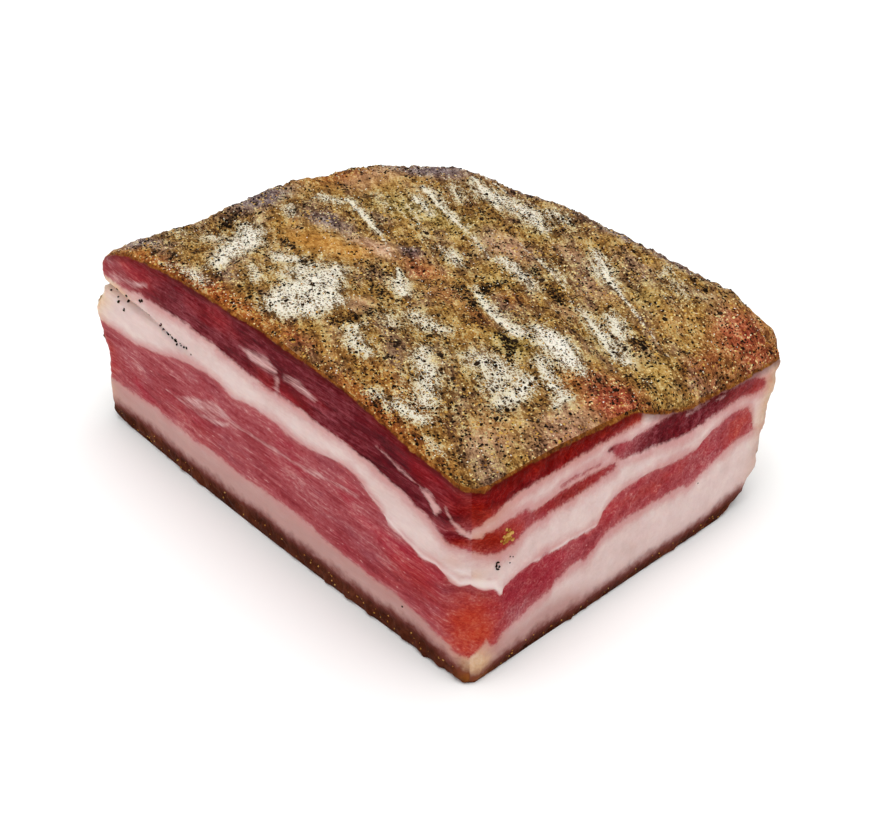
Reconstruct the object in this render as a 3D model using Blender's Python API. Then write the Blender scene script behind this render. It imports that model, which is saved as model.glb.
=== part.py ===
"""A slab of flat pancetta: cured belly cut square, spiced crust on top, rind underneath.

Sizes are in millimetres until the finished mesh is scaled to metres. A place on the slab is
given from its near corner: along runs down the long cut face, across runs over the short one.
Each surface that passes through the slab is drawn as four side lines of (place, height).
"""

import math
import random

import bmesh
import bpy
import numpy as np
from mathutils import Matrix, Vector

MM = 0.001

# The slab as a whole, in plan: the back and left sides bow out from straight lines
LENGTH = 141.0
WIDTH = 118.0
BACK_LINE = ((0, 111.5), (15, 116), (50, 118), (92, 119.5), (120, 115), (141, 109))
LEFT_LINE = ((0, 141), (35, 141.5), (60, 143.5), (85, 142), (118, 138))
FACE_BOW = 1.5
BOW_TOP = 50.0

# The lines up the wall, from the ground to the crust's rim
GROUND, HEEL, RIND_TOP, LEAN_FLOOR, LEAN_TOP, SPLIT_LOW, SPLIT_HIGH, FAT_TOP, CRUST_LINE, RIM = range(10)
HEEL_HEIGHT = 2.0
RIND_HEIGHT = 5.5

# The top of the crust, and the line where the crust gives way to cut meat
CRUST_TOP = {
    "front": ((0, 57.2), (20, 60), (45, 63.8), (75, 65), (105, 64.2), (128, 61.3), (141, 57)),
    "short": ((0, 57.2), (25, 57), (50, 55.2), (70, 52.8), (90, 51.2), (118, 50)),
    "back": ((0, 49), (20, 54.3), (60, 53.5), (80, 52.6), (100, 49.7), (112, 50.2), (141, 51.4)),
    "left": ((0, 57.5), (18, 56.8), (35, 52.4), (55, 54.1), (70, 53.9), (85, 51.6), (118, 51.4)),
}
CRUST_EDGE = {
    "front": ((0, 55.6), (20, 58.4), (45, 62.2), (75, 63.4), (105, 62.6), (128, 59.5), (141, 53)),
    "short": ((0, 55.6), (25, 55), (50, 52.3), (60, 49), (70, 46), (80, 42.6), (118, 41.5)),
    "back": ((0, 41), (20, 43.4), (60, 43.5), (100, 41.5), (125, 41.7), (141, 41.5)),
    "left": ((0, 53.5), (18, 52.5), (35, 49.3), (60, 49), (90, 44.5), (118, 41.5)),
}

# The layers of fat and lean
MAIN_FAT_TOP = {
    "front": ((0, 40.4), (10, 43.5), (25, 45.8), (60, 48.7), (95, 51.3), (130, 49.7), (141, 49.5)),
    "short": ((0, 40.4), (10, 36.5), (20, 38.7), (45, 40.3), (52, 41.4), (72, 36.8), (118, 38)),
    "back": ((0, 38), (60, 41), (141, 38)),
    "left": ((0, 49.5), (60, 45), (118, 38)),
}
MAIN_LEAN_TOP = {
    "front": ((0, 26.5), (9, 29.8), (17, 30.2), (30, 34.7), (45, 40), (95, 39.8), (112, 36.6), (141, 32.9)),
    "short": ((0, 26.5), (10, 23.2), (20, 26.2), (38, 26), (48, 31.2), (60, 32.2), (75, 30.6), (118, 33)),
    "back": ((0, 33), (60, 35), (141, 32)),
    "left": ((0, 32.9), (60, 34), (118, 32)),
}
MAIN_LEAN_FLOOR = {
    "front": ((0, 7.5), (10, 9.3), (25, 12.5), (60, 14.6), (100, 13.7), (141, 14)),
    "short": ((0, 7.5), (10, 10.4), (25, 14.4), (42, 20), (55, 22.2), (78, 20.4), (98, 25.2), (118, 24)),
    "back": ((0, 24), (60, 18), (141, 15)),
    "left": ((0, 14), (60, 15), (118, 15)),
}
NEAREST_GAP = 0.5

# The streak of fat inside the top lean of the short face, as (across, underside, upper side)
THIN_FAT = ((0, 43.5, 47.5), (12, 43.6, 49.7), (40, 44.7, 50.2), (60, 46, 49), (72, 44.5, 44.5))

# The split under the crust's flap at the left end, as (along, height, depth)
SPLIT = (
    (60, 43, 0),
    (88, 44, 0),
    (104, 43.4, 0.8),
    (118, 44.8, 1.8),
    (132, 46, 3.2),
    (141, 46.8, 4.2),
)
SPLIT_HALF = 1.1
SPLIT_REACH = 45.0
SPLIT_FADE = 30.0
SPLIT_REST = 0.45
SPLIT_MOUTH = 1.7

# How far each side stands out from the crust's outline, as (height, distance)
FRONT_PROFILE = ((0, -0.5), (2, 0), (60, 0))
SHORT_PROFILE = ((0, -0.5), (2, 0), (60, 0))
LEFT_PROFILE = ((0, 5), (3, 9), (12, 9.8), (20, 9.1), (34, 10.7), (44, 4.5), (50, 4.8), (56, 0.8))
BACK_PROFILE = ((0, -13), (2, -9), (5, -6), (10, -4.4), (20, -3), (30, -1.6), (38, 0), (60, 0))

# The plan radius of each upright corner, as (height, radius)
NEAR_CORNER = ((0, 2), (7, 5), (14, 9), (33, 9.5), (46, 7.5), (56, 3.5))
LEFT_CORNER = ((0, 5), (40, 5.5), (56, 3))
FAR_CORNER = ((0, 9), (20, 6), (60, 6))
BACK_CORNER = ((0, 20), (60, 24))
NEAR_FACET = 0.6

# Humps and hollows of the crust, as (along, across, radius, height)
HUMPS = (
    (112, 94, 24, 2.6),
    (105, 43, 13, 1.3),
    (84, 24, 13, 0.9),
    (73, 56, 11, -1.3),
    (28, 44, 15, 1.2),
    (50, 24, 9, 0.8),
    (28, 92, 13, 1.0),
    (60, 88, 14, -0.9),
    (6, 70, 8, -0.8),
    (56, 66, 8, -0.9),
    (135, 36, 6, -2.4),
)
# Creases pressed into the crust, as (along, across) of both ends and a depth
CREASES = (
    (52, 76, 12, 62, 0.9),
    (68, 109, 37, 90, 0.9),
    (60, 57, 38, 49, 0.7),
    (123, 71, 97, 57, 0.8),
    (92, 78, 66, 66, 0.7),
)
CREASE_HALF = 2.6
CALM_MARGIN = 12.0

# Unevenness: a knife leaves a cut face nearly flat, a grown side and the crust roll
WAVE_COUNT = 7
CRUST_WAVE = 0.5
CRUST_WAVE_LENGTH = 34.0
CRUST_WAVE_SEED = 3
CUT_WAVE = 0.25
GROWN_WAVE = 0.7
GROWN_MARGIN = 20.0
SIDE_WAVE_LENGTH = 44.0
SIDE_WAVE_SEED = 8
FAT_SWELL = 0.35

# The mesh: cells along and across, and rows of cells between the lines up the wall
CELLS_ALONG = 40
CELLS_ACROSS = 32
CORNER_CROWDING = 0.35
ROWS = (1, 1, 2, 4, 3, 2, 2, 4, 2)
LEVEL_FACE = 0.75

# Coarse flakes of spice that show from a step away, and a crumb stuck on the short face
FLAKE_SEED = 11
FLAKE_COUNT = 56
FLAKE_RADIUS = (0.8, 1.5)
FLAKE_FLATNESS = 0.55
FLAKE_ROUGHNESS = (0.75, 1.1)
FLAKE_NARROWNESS = (0.6, 0.95)
FLAKE_GAP = 7.5
FLAKE_MARGIN = 8.0
CRUMB_ACROSS = 12.0
CRUMB_HEIGHT = 39.2
CRUMB_RADIUS = 1.1

COLOURS = {
    "spiced_crust": ((0.27, 0.15, 0.055), 0.75),
    "cured_lean": ((0.36, 0.07, 0.085), 0.4),
    "cured_fat": ((0.76, 0.62, 0.58), 0.38),
    "rind": ((0.07, 0.025, 0.018), 0.5),
    "cracked_pepper": ((0.02, 0.015, 0.01), 0.7),
}
CRUST, LEAN, FAT, RIND, PEPPER = range(len(COLOURS))
ROLL_SHARE = math.sqrt(0.5)


def curve_through(stations, places):
    """Heights on a smooth curve that passes through the stations without overshooting them."""
    stops, heights = np.array(stations, float).T
    grades = np.diff(heights) / np.diff(stops)
    product = grades[1:] * grades[:-1]
    between = 2 * product / np.where(product > 0, grades[1:] + grades[:-1], 1)
    slopes = np.array([grades[0], *np.maximum(product > 0, 0) * between, grades[-1]])
    step = np.clip(np.searchsorted(stops, places) - 1, 0, len(stops) - 2)
    span = stops[step + 1] - stops[step]
    t = np.clip((places - stops[step]) / span, 0, 1)
    rise = heights[step + 1] - heights[step]
    bend = slopes[step] * t * (1 - t) ** 2 - slopes[step + 1] * t**2 * (1 - t)
    return heights[step] + rise * t * t * (3 - 2 * t) + bend * span


def over_slab(side_lines, along, across):
    """A surface's height at any place in plan, drawn from its side lines, the nearest most."""
    gaps = {"front": across, "back": WIDTH - across, "short": along, "left": LENGTH - along}
    total = 0
    weights = 0
    for side, line in side_lines.items():
        place = along if side in ("front", "back") else across
        weight = 1 / (np.abs(gaps[side]) + NEAREST_GAP) ** 2
        total = total + weight * curve_through(line, place)
        weights = weights + weight
    return total / weights


def waves(along, across, height, coarsest, seed):
    """A seeded sum of waves, about -1 to 1, for surfaces that are nowhere quite flat."""
    draw = random.Random(seed)
    total = 0
    for _ in range(WAVE_COUNT):
        turn = draw.uniform(0, 2 * math.pi)
        pitch = 2 * math.pi / (coarsest * draw.uniform(0.45, 1))
        phase = draw.uniform(0, 2 * math.pi)
        run = along * math.cos(turn) + across * math.sin(turn) + height * math.sin(turn + 1)
        total = total + np.sin(run * pitch + phase)
    return total / math.sqrt(2 * WAVE_COUNT)


def crust_relief(along, across):
    """Humps, hollows and creases of the crust."""
    relief = CRUST_WAVE * waves(along, across, 0, CRUST_WAVE_LENGTH, CRUST_WAVE_SEED)
    for hump_along, hump_across, radius, height in HUMPS:
        far = ((along - hump_along) ** 2 + (across - hump_across) ** 2) / radius**2
        relief = relief + height * np.exp(-far)
    for start_along, start_across, end_along, end_across, depth in CREASES:
        run_along = end_along - start_along
        run_across = end_across - start_across
        share = (along - start_along) * run_along + (across - start_across) * run_across
        share = np.clip(share / (run_along**2 + run_across**2), 0, 1)
        off_along = along - start_along - share * run_along
        off_across = across - start_across - share * run_across
        press = np.exp(-(off_along**2 + off_across**2) / CREASE_HALF**2)
        relief = relief - depth * press * np.sin(math.pi * share)
    return relief


def level_lines(along, across):
    """Heights of the lines up the wall, from the ground to the crust's rim."""
    lean_top = over_slab(MAIN_LEAN_TOP, along, across)
    fat_top = over_slab(MAIN_FAT_TOP, along, across)
    edge = over_slab(CRUST_EDGE, along, across)
    roll = over_slab(CRUST_TOP, along, across) - edge
    # The split fades into a rest line inside the fat, away from the flap.
    rest = lean_top + SPLIT_REST * (fat_top - lean_top)
    split = curve_through([(place, height) for place, height, _ in SPLIT], along)
    nearness = np.clip(1 - across / SPLIT_REACH, 0, 1)
    nearness = nearness * np.clip((along - SPLIT[0][0]) / SPLIT_FADE, 0, 1)
    split = rest + nearness * (split - rest)
    split = np.clip(split, lean_top + 2 * SPLIT_HALF, fat_top - 1.4 * SPLIT_HALF)
    ground = np.zeros_like(along)
    return np.array(
        (
            ground,
            ground + HEEL_HEIGHT,
            ground + RIND_HEIGHT,
            over_slab(MAIN_LEAN_FLOOR, along, across),
            lean_top,
            split - SPLIT_HALF,
            split + SPLIT_HALF,
            fat_top,
            edge,
            edge + roll * ROLL_SHARE,
        )
    )


def split_depth(along, across, height, lines):
    """How deep the split under the flap cuts in at a place on the wall."""
    middle = (lines[SPLIT_LOW] + lines[SPLIT_HIGH]) / 2
    depth = curve_through([(place, depth) for place, _, depth in SPLIT], along)
    fade = np.clip(1 - across / SPLIT_REACH, 0, 1)
    return depth * fade * np.clip(SPLIT_MOUTH - np.abs(height - middle) / SPLIT_HALF, 0, 1)


def round_corner(along, across, corner_along, corner_across, radius, facet):
    """Turns a square corner of the plan into an arc, or part way to a flat facet."""
    inward_along = -1 if np.mean(corner_along) > LENGTH / 2 else 1
    inward_across = -1 if np.mean(corner_across) > WIDTH / 2 else 1
    a = 1 - (along - corner_along) * inward_along / radius
    b = 1 - (across - corner_across) * inward_across / radius
    inside = (a > 0) & (b > 0)
    reach = np.where(inside, np.maximum(a, b), 1)
    turn = np.where(a >= b, 1 - b / reach / 2, a / reach / 2)
    angle = turn * math.pi / 2
    round_a = reach * ((1 - facet) * np.sin(angle) + facet * turn)
    round_b = reach * ((1 - facet) * np.cos(angle) + facet * (1 - turn))
    round_along = corner_along + (1 - round_a) * radius * inward_along
    round_across = corner_across + (1 - round_b) * radius * inward_across
    return np.where(inside, round_along, along), np.where(inside, round_across, across)


def slab_skin(u, v, level):
    """Places on the slab's skin, for shares u and v of its length and width and a level line."""
    along = u * LENGTH
    across = v * WIDTH
    lines = level_lines(along, across)
    lower = np.clip(np.floor(level).astype(int), 0, RIM - 1)
    share = level - lower
    column = np.arange(len(u))
    height = lines[lower, column] * (1 - share) + lines[lower + 1, column] * share

    # The crust rolls over its edge on a quarter round, of which the wall takes the first half.
    radius = (lines[RIM] - lines[CRUST_LINE]) / ROLL_SHARE
    climb = np.clip((height - lines[CRUST_LINE]) / radius, 0, ROLL_SHARE)
    tuck = radius * (1 - np.sqrt(1 - climb**2))

    wall = (level > GROUND) & (level < RIM)
    grown = np.clip(np.minimum(along, across) / GROWN_MARGIN, 0, 1)
    swell = np.clip((height - lines[LEAN_TOP]) / (lines[FAT_TOP] - lines[LEAN_TOP]), 0, 1)
    wave = waves(along, across, height, SIDE_WAVE_LENGTH, SIDE_WAVE_SEED)
    out = (CUT_WAVE + (GROWN_WAVE - CUT_WAVE) * grown) * wave
    out = np.where(wall, out + FAT_SWELL * np.sin(math.pi * swell), 0)
    cleft = np.where(wall, split_depth(along, across, height, lines), 0)
    bow = FACE_BOW * np.sin(math.pi * u) * np.clip(1 - height / BOW_TOP, 0, 1)

    front = -curve_through(FRONT_PROFILE, height) - bow - out + cleft
    back = curve_through(BACK_LINE, along) + curve_through(BACK_PROFILE, height) + out
    near = -curve_through(SHORT_PROFILE, height) - out
    left = curve_through(LEFT_LINE, across) + curve_through(LEFT_PROFILE, height)
    left = left + out - cleft
    skin_along = near + tuck + u * (left - near - 2 * tuck)
    skin_across = front + tuck + v * (back - front - 2 * tuck)
    gaps = {
        "front": skin_across - front,
        "back": back - skin_across,
        "short": skin_along - near,
        "left": left - skin_along,
    }

    corners = (
        (near + tuck, front + tuck, NEAR_CORNER, NEAR_FACET),
        (left - tuck, front + tuck, LEFT_CORNER, 0),
        (near + tuck, back - tuck, FAR_CORNER, 0),
        (left - tuck, back - tuck, BACK_CORNER, 0),
    )
    for corner_along, corner_across, radii, facet in corners:
        size = curve_through(radii, height)
        skin_along, skin_across = round_corner(
            skin_along, skin_across, corner_along, corner_across, size, facet
        )

    # The top takes the second half of the quarter round, and then the crust's own relief.
    drop = 0
    for side, gap in gaps.items():
        place = along if side in ("front", "back") else across
        round_off = curve_through(CRUST_TOP[side], place) - curve_through(CRUST_EDGE[side], place)
        short_of = np.clip(round_off - gap, 0, round_off)
        drop = np.maximum(drop, round_off - np.sqrt(round_off**2 - short_of**2))
    calm = np.clip(np.minimum.reduce(list(gaps.values())) / CALM_MARGIN, 0, 1)
    crown = over_slab(CRUST_TOP, along, across) - drop
    crown = crown + crust_relief(skin_along, skin_across) * calm * (2 - calm)
    inner = (np.minimum(u, v) > 0) & (np.maximum(u, v) < 1)
    height = np.where((level == RIM) & inner, crown, height)
    return skin_along, skin_across, height


def cut_cube_into_cells(mesh, cells):
    """Cuts the unit cube into even cells, one direction at a time."""
    for axis, count in enumerate(cells):
        edges = []
        for edge in mesh.edges:
            run = edge.verts[1].co - edge.verts[0].co
            if abs(run[axis]) > 0.5 * run.length:
                edges.append(edge)
        bmesh.ops.subdivide_edges(mesh, edges=edges, cuts=count - 1, use_grid_fill=True)


def crowd_to_ends(shares):
    """Draws evenly spread shares towards 0 and 1, where the corners need more cells."""
    return shares - CORNER_CROWDING * np.sin(2 * math.pi * shares) / (2 * math.pi)


def layer_material(face, lines):
    """The material slot of a face, from where its middle lies among the level lines there."""
    middle = face.calc_center_median()
    if middle.z < lines[RIND_TOP]:
        return RIND
    if middle.z > lines[CRUST_LINE] or face.normal.z > LEVEL_FACE:
        return CRUST
    if middle.z < lines[LEAN_FLOOR] or lines[LEAN_TOP] < middle.z < lines[FAT_TOP]:
        return FAT
    stops, undersides, upper_sides = zip(*THIN_FAT)
    underside = np.interp(middle.y, stops, undersides)
    upper_side = np.interp(middle.y, stops, upper_sides)
    on_short_face = face.normal.x < -LEVEL_FACE
    return FAT if on_short_face and underside < middle.z < upper_side else LEAN


def make_slab_mesh():
    """The slab as a bmesh in millimetres, with a material slot on each face."""
    slab = bmesh.new()
    bmesh.ops.create_cube(slab, size=1.0)
    bmesh.ops.translate(slab, vec=(0.5, 0.5, 0.5), verts=slab.verts)
    cut_cube_into_cells(slab, (CELLS_ALONG, CELLS_ACROSS, sum(ROWS)))
    places = np.array([vert.co[:] for vert in slab.verts]).round(6)
    row_levels = np.concatenate(
        [level + np.arange(count) / count for level, count in enumerate(ROWS)] + [[RIM]]
    )
    level = row_levels[np.round(places[:, 2] * sum(ROWS)).astype(int)]
    u = crowd_to_ends(places[:, 0]).clip(0, 1)
    v = crowd_to_ends(places[:, 1]).clip(0, 1)
    for vert, *place in zip(slab.verts, *slab_skin(u, v, level)):
        vert.co = place
    slab.normal_update()

    middles = np.array([face.calc_center_median()[:] for face in slab.faces])
    lines = level_lines(middles[:, 0].clip(0, LENGTH), middles[:, 1].clip(0, WIDTH))
    for face, face_lines in zip(slab.faces, lines.T):
        face.material_index = layer_material(face, face_lines)
        face.smooth = True
    flat = [face for face in slab.faces if all(abs(vert.co.z) < 1e-6 for vert in face.verts)]
    bmesh.ops.dissolve_faces(slab, faces=flat, use_verts=False)
    return slab


def make_object(name, mesh, collection, slots):
    """A named object from a bmesh, in a collection, with its material slots."""
    data = bpy.data.meshes.new(name)
    mesh.to_mesh(data)
    mesh.free()
    for slot in slots:
        data.materials.append(bpy.data.materials[slot])
    made = bpy.data.objects.new(name, data)
    collection.objects.link(made)
    return made


def make_materials():
    """One Principled material for each layer of the slab."""
    for name, (colour, roughness) in COLOURS.items():
        material = bpy.data.materials.new(name)
        material.use_nodes = True
        shader = material.node_tree.nodes["Principled BSDF"]
        shader.inputs["Base Color"].default_value = (*colour, 1)
        shader.inputs["Roughness"].default_value = roughness
        shader.inputs["Metallic"].default_value = 0


def flake_places():
    """Seeded places for the coarse flakes: points on the crust, well apart, with a normal."""
    draw = random.Random(FLAKE_SEED)
    spots = []
    while len(spots) < FLAKE_COUNT:
        spot = Vector((draw.uniform(FLAKE_MARGIN, LENGTH - FLAKE_MARGIN), 0))
        spot.y = draw.uniform(FLAKE_MARGIN, WIDTH - FLAKE_MARGIN)
        if all((spot - other).length > FLAKE_GAP for other in spots):
            spots.append(spot)

    def crust_at(step_along, step_across):
        u = np.array([(spot.x + step_along) / LENGTH for spot in spots])
        v = np.array([(spot.y + step_across) / WIDTH for spot in spots])
        return np.array(slab_skin(u, v, np.full(len(spots), RIM))).T

    here = crust_at(0, 0)
    normals = np.cross(crust_at(1, 0) - here, crust_at(0, 1) - here)
    return [(Vector(place), Vector(normal)) for place, normal in zip(here, normals)]


def make_flake(name, place, normal, radius, draw, collection):
    """One flake: a squashed lump of a few faces, half sunk into what it lies on."""
    flake = bmesh.new()
    bmesh.ops.create_icosphere(flake, subdivisions=1, radius=radius)
    for vert in flake.verts:
        vert.co *= draw.uniform(*FLAKE_ROUGHNESS)
    shape = Matrix.Diagonal((1, draw.uniform(*FLAKE_NARROWNESS), FLAKE_FLATNESS, 1))
    turn = Matrix.Rotation(draw.uniform(0, 2 * math.pi), 4, "Z")
    lean = normal.to_track_quat("Z", "Y").to_matrix().to_4x4()
    bmesh.ops.transform(
        flake, matrix=Matrix.Translation(place) @ lean @ turn @ shape, verts=flake.verts
    )
    return make_object(name, flake, collection, ["cracked_pepper"])


def join_flakes(slab_object, flakes, collection):
    """Fuses the flakes to the slab with one union and removes the loose ones."""
    union = slab_object.modifiers.new("join_flakes", "BOOLEAN")
    union.operation = "UNION"
    union.operand_type = "COLLECTION"
    union.collection = collection
    union.solver = "EXACT"
    union.material_mode = "TRANSFER"
    graph = bpy.context.evaluated_depsgraph_get()
    joined = bpy.data.meshes.new_from_object(slab_object.evaluated_get(graph))
    slab_object.modifiers.remove(union)
    slab_object.data = joined
    for flake in flakes:
        bpy.data.objects.remove(flake)


def stand_on_origin(mesh_object):
    """Centres the slab over the origin, turns it to face -Y and scales it to metres."""
    data = mesh_object.data
    # The near corner ends up at +X, -Y, so along runs towards -X and the mesh is mirrored in X.
    data.transform(Matrix.Diagonal((-MM, MM, MM, 1)))
    data.flip_normals()
    corners = np.array([vert.co[:] for vert in data.vertices])
    middle = (corners.min(axis=0) + corners.max(axis=0)) / 2
    data.transform(Matrix.Translation((-middle[0], -middle[1], -corners[:, 2].min())))
    data.update()


def main():
    for old in list(bpy.data.objects):
        bpy.data.objects.remove(old)
    pancetta = bpy.data.collections.new("pancetta")
    spice = bpy.data.collections.new("spice_flakes")
    spice.hide_render = True
    for collection in (pancetta, spice):
        bpy.context.scene.collection.children.link(collection)
    make_materials()

    slab = make_slab_mesh()
    draw = random.Random(FLAKE_SEED + 1)
    flakes = []
    for number, (place, normal) in enumerate(flake_places()):
        radius = draw.uniform(*FLAKE_RADIUS)
        flakes.append(make_flake(f"flake_{number:02d}", place, normal, radius, draw, spice))
    crumb_place = Vector((0, CRUMB_ACROSS, CRUMB_HEIGHT))
    flakes.append(make_flake("crumb", crumb_place, Vector((-1, 0, 0)), CRUMB_RADIUS, draw, spice))

    slab_object = make_object("pancetta", slab, pancetta, list(COLOURS))
    join_flakes(slab_object, flakes, spice)
    stand_on_origin(slab_object)


main()
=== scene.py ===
"""The looks of a slab of flat pancetta: cut faces of lean and fat, spiced crust, smoked rind.

One fine closed mesh with the solid's own skin stands in for the solid, and loose spice lies on
it. Sizes are in millimetres until a finished mesh is scaled to metres. A place on the slab is
given from its near corner: along runs down the long cut face, across runs over the short one.
What is painted on a cut face is given as (along or across, height), from the same corner.
"""

import math
import random

import bmesh
import bpy
import numpy as np
from mathutils import Matrix, Vector
from mathutils.bvhtree import BVHTree


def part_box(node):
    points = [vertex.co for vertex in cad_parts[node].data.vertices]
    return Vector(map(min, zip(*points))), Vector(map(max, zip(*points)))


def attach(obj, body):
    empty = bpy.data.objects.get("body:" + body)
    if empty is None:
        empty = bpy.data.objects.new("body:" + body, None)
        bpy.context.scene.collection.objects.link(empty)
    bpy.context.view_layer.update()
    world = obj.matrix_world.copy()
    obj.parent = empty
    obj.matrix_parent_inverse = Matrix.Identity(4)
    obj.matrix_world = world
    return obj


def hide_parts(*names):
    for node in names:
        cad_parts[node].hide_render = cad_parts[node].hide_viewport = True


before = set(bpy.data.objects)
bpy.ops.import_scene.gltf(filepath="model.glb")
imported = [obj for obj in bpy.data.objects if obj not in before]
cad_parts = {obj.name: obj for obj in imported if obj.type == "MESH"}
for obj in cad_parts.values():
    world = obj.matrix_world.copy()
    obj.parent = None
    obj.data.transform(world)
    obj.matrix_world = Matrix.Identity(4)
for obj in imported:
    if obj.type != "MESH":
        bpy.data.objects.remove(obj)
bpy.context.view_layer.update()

MM = 0.001
BODY = "root"
NODE = "pancetta"
NODE_LOW, NODE_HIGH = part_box(NODE)

# ---------------------------------------------------------------- the slab's skin, as the solid has it

LENGTH = 141.0
WIDTH = 118.0
# The far sides in plan: (place along the side, how far out)
BACK_LINE = ((0, 111.5), (15, 116), (50, 118), (92, 119.5), (120, 115), (141, 109))
LEFT_LINE = ((0, 141), (35, 141.5), (60, 143.5), (85, 142), (118, 138))
FACE_BOW = 1.5
BOW_TOP = 50.0

GROUND, HEEL, RIND_TOP, LEAN_FLOOR, LEAN_TOP, SPLIT_LOW, SPLIT_HIGH, FAT_TOP, CRUST_LINE, RIM = range(10)
HEEL_HEIGHT = 2.0
RIND_HEIGHT = 5.5

# Lines round the four sides, from the near corner outwards: (place, height)
CRUST_TOP = {
    "front": ((0, 57.2), (20, 60), (45, 63.8), (75, 65), (105, 64.2), (128, 61.3), (141, 57)),
    "short": ((0, 57.2), (25, 57), (50, 55.2), (70, 52.8), (90, 51.2), (118, 50)),
    "back": ((0, 49), (20, 54.3), (60, 53.5), (80, 52.6), (100, 49.7), (112, 50.2), (141, 51.4)),
    "left": ((0, 57.5), (18, 56.8), (35, 52.4), (55, 54.1), (70, 53.9), (85, 51.6), (118, 51.4)),
}
CRUST_EDGE = {
    "front": ((0, 55.6), (20, 58.4), (45, 62.2), (75, 63.4), (105, 62.6), (128, 59.5), (141, 53)),
    "short": ((0, 55.6), (25, 55), (50, 52.3), (60, 49), (70, 46), (80, 42.6), (118, 41.5)),
    "back": ((0, 41), (20, 43.4), (60, 43.5), (100, 41.5), (125, 41.7), (141, 41.5)),
    "left": ((0, 53.5), (18, 52.5), (35, 49.3), (60, 49), (90, 44.5), (118, 41.5)),
}
MAIN_FAT_TOP = {
    "front": ((0, 40.4), (10, 43.5), (25, 45.8), (60, 48.7), (95, 51.3), (130, 49.7), (141, 49.5)),
    "short": ((0, 40.4), (10, 36.5), (20, 38.7), (45, 40.3), (52, 41.4), (72, 36.8), (118, 38)),
    "back": ((0, 38), (60, 41), (141, 38)),
    "left": ((0, 49.5), (60, 45), (118, 38)),
}
MAIN_LEAN_TOP = {
    "front": ((0, 26.5), (9, 29.8), (17, 30.2), (30, 34.7), (45, 40), (95, 39.8), (112, 36.6), (141, 32.9)),
    "short": ((0, 26.5), (10, 23.2), (20, 26.2), (38, 26), (48, 31.2), (60, 32.2), (75, 30.6), (118, 33)),
    "back": ((0, 33), (60, 35), (141, 32)),
    "left": ((0, 32.9), (60, 34), (118, 32)),
}
MAIN_LEAN_FLOOR = {
    "front": ((0, 7.5), (10, 9.3), (25, 12.5), (60, 14.6), (100, 13.7), (141, 14)),
    "short": ((0, 7.5), (10, 10.4), (25, 14.4), (42, 20), (55, 22.2), (78, 20.4), (98, 25.2), (118, 24)),
    "back": ((0, 24), (60, 18), (141, 15)),
    "left": ((0, 14), (60, 15), (118, 15)),
}
NEAREST_GAP = 0.5

# The split under the flap of fat: (place, height, depth)
SPLIT = (
    (60, 43, 0), (88, 44, 0), (104, 43.4, 0.8), (118, 44.8, 1.8), (132, 46, 3.2), (141, 46.8, 4.2),
)
SPLIT_HALF = 1.1
SPLIT_CLEAR = (2 * SPLIT_HALF, 1.4 * SPLIT_HALF)
SPLIT_REACH = 45.0
SPLIT_FADE = 30.0
SPLIT_REST = 0.45
SPLIT_MOUTH = 1.7

# How far a side stands out at a height: (height, reach)
CUT_PROFILE = ((0, -0.5), (2, 0), (60, 0))
LEFT_PROFILE = ((0, 5), (3, 9), (12, 9.8), (20, 9.1), (34, 10.7), (44, 4.5), (50, 4.8), (56, 0.8))
BACK_PROFILE = ((0, -13), (2, -9), (5, -6), (10, -4.4), (20, -3), (30, -1.6), (38, 0), (60, 0))

# Radii of the upright corners: (height, radius)
NEAR_CORNER = ((0, 2), (7, 5), (14, 9), (33, 9.5), (46, 7.5), (56, 3.5))
LEFT_CORNER = ((0, 5), (40, 5.5), (56, 3))
FAR_CORNER = ((0, 9), (20, 6), (60, 6))
BACK_CORNER = ((0, 20), (60, 24))
NEAR_FACET = 0.6

# Humps and hollows of (along, across, radius, height)
HUMPS = (
    (112, 94, 24, 2.6), (105, 43, 13, 1.3), (84, 24, 13, 0.9), (73, 56, 11, -1.3), (28, 44, 15, 1.2),
    (50, 24, 9, 0.8), (28, 92, 13, 1.0), (60, 88, 14, -0.9), (6, 70, 8, -0.8), (56, 66, 8, -0.9),
    (135, 36, 6, -2.4),
)
# Creases from one (along, across) to another, and their depth
CREASES = (
    (52, 76, 12, 62, 0.9), (68, 109, 37, 90, 0.9), (60, 57, 38, 49, 0.7), (123, 71, 97, 57, 0.8),
    (92, 78, 66, 66, 0.7),
)
CREASE_HALF = 2.6
CALM_MARGIN = 12.0

WAVE_COUNT = 7
WAVE_SPREAD = (0.45, 1)
CRUST_WAVE = 0.5
CRUST_WAVE_LENGTH = 34.0
CRUST_WAVE_SEED = 3
CUT_WAVE = 0.25
GROWN_WAVE = 0.7
GROWN_MARGIN = 20.0
SIDE_WAVE_LENGTH = 44.0
SIDE_WAVE_SEED = 8
FAT_SWELL = 0.35
ROLL_SHARE = math.sqrt(0.5)

# The slab's square corner lies this far inside the solid's box, in X and in Y
CORNER_INSET = (0.60, 1.53)

FLAKE_SEED = 11
FLAKE_COUNT = 56
FLAKE_RADIUS = (0.8, 1.5)
FLAKE_GAP = 7.5
FLAKE_SHOWN = 0.75
FLAKE_MARGIN = 8.0

# ---------------------------------------------------------------- the fine mesh

FINE_ALONG = 140
FINE_ACROSS = 112
FINE_ROWS = (2, 3, 7, 18, 6, 3, 4, 11, 4)

# ---------------------------------------------------------------- what is painted on the cut faces

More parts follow.
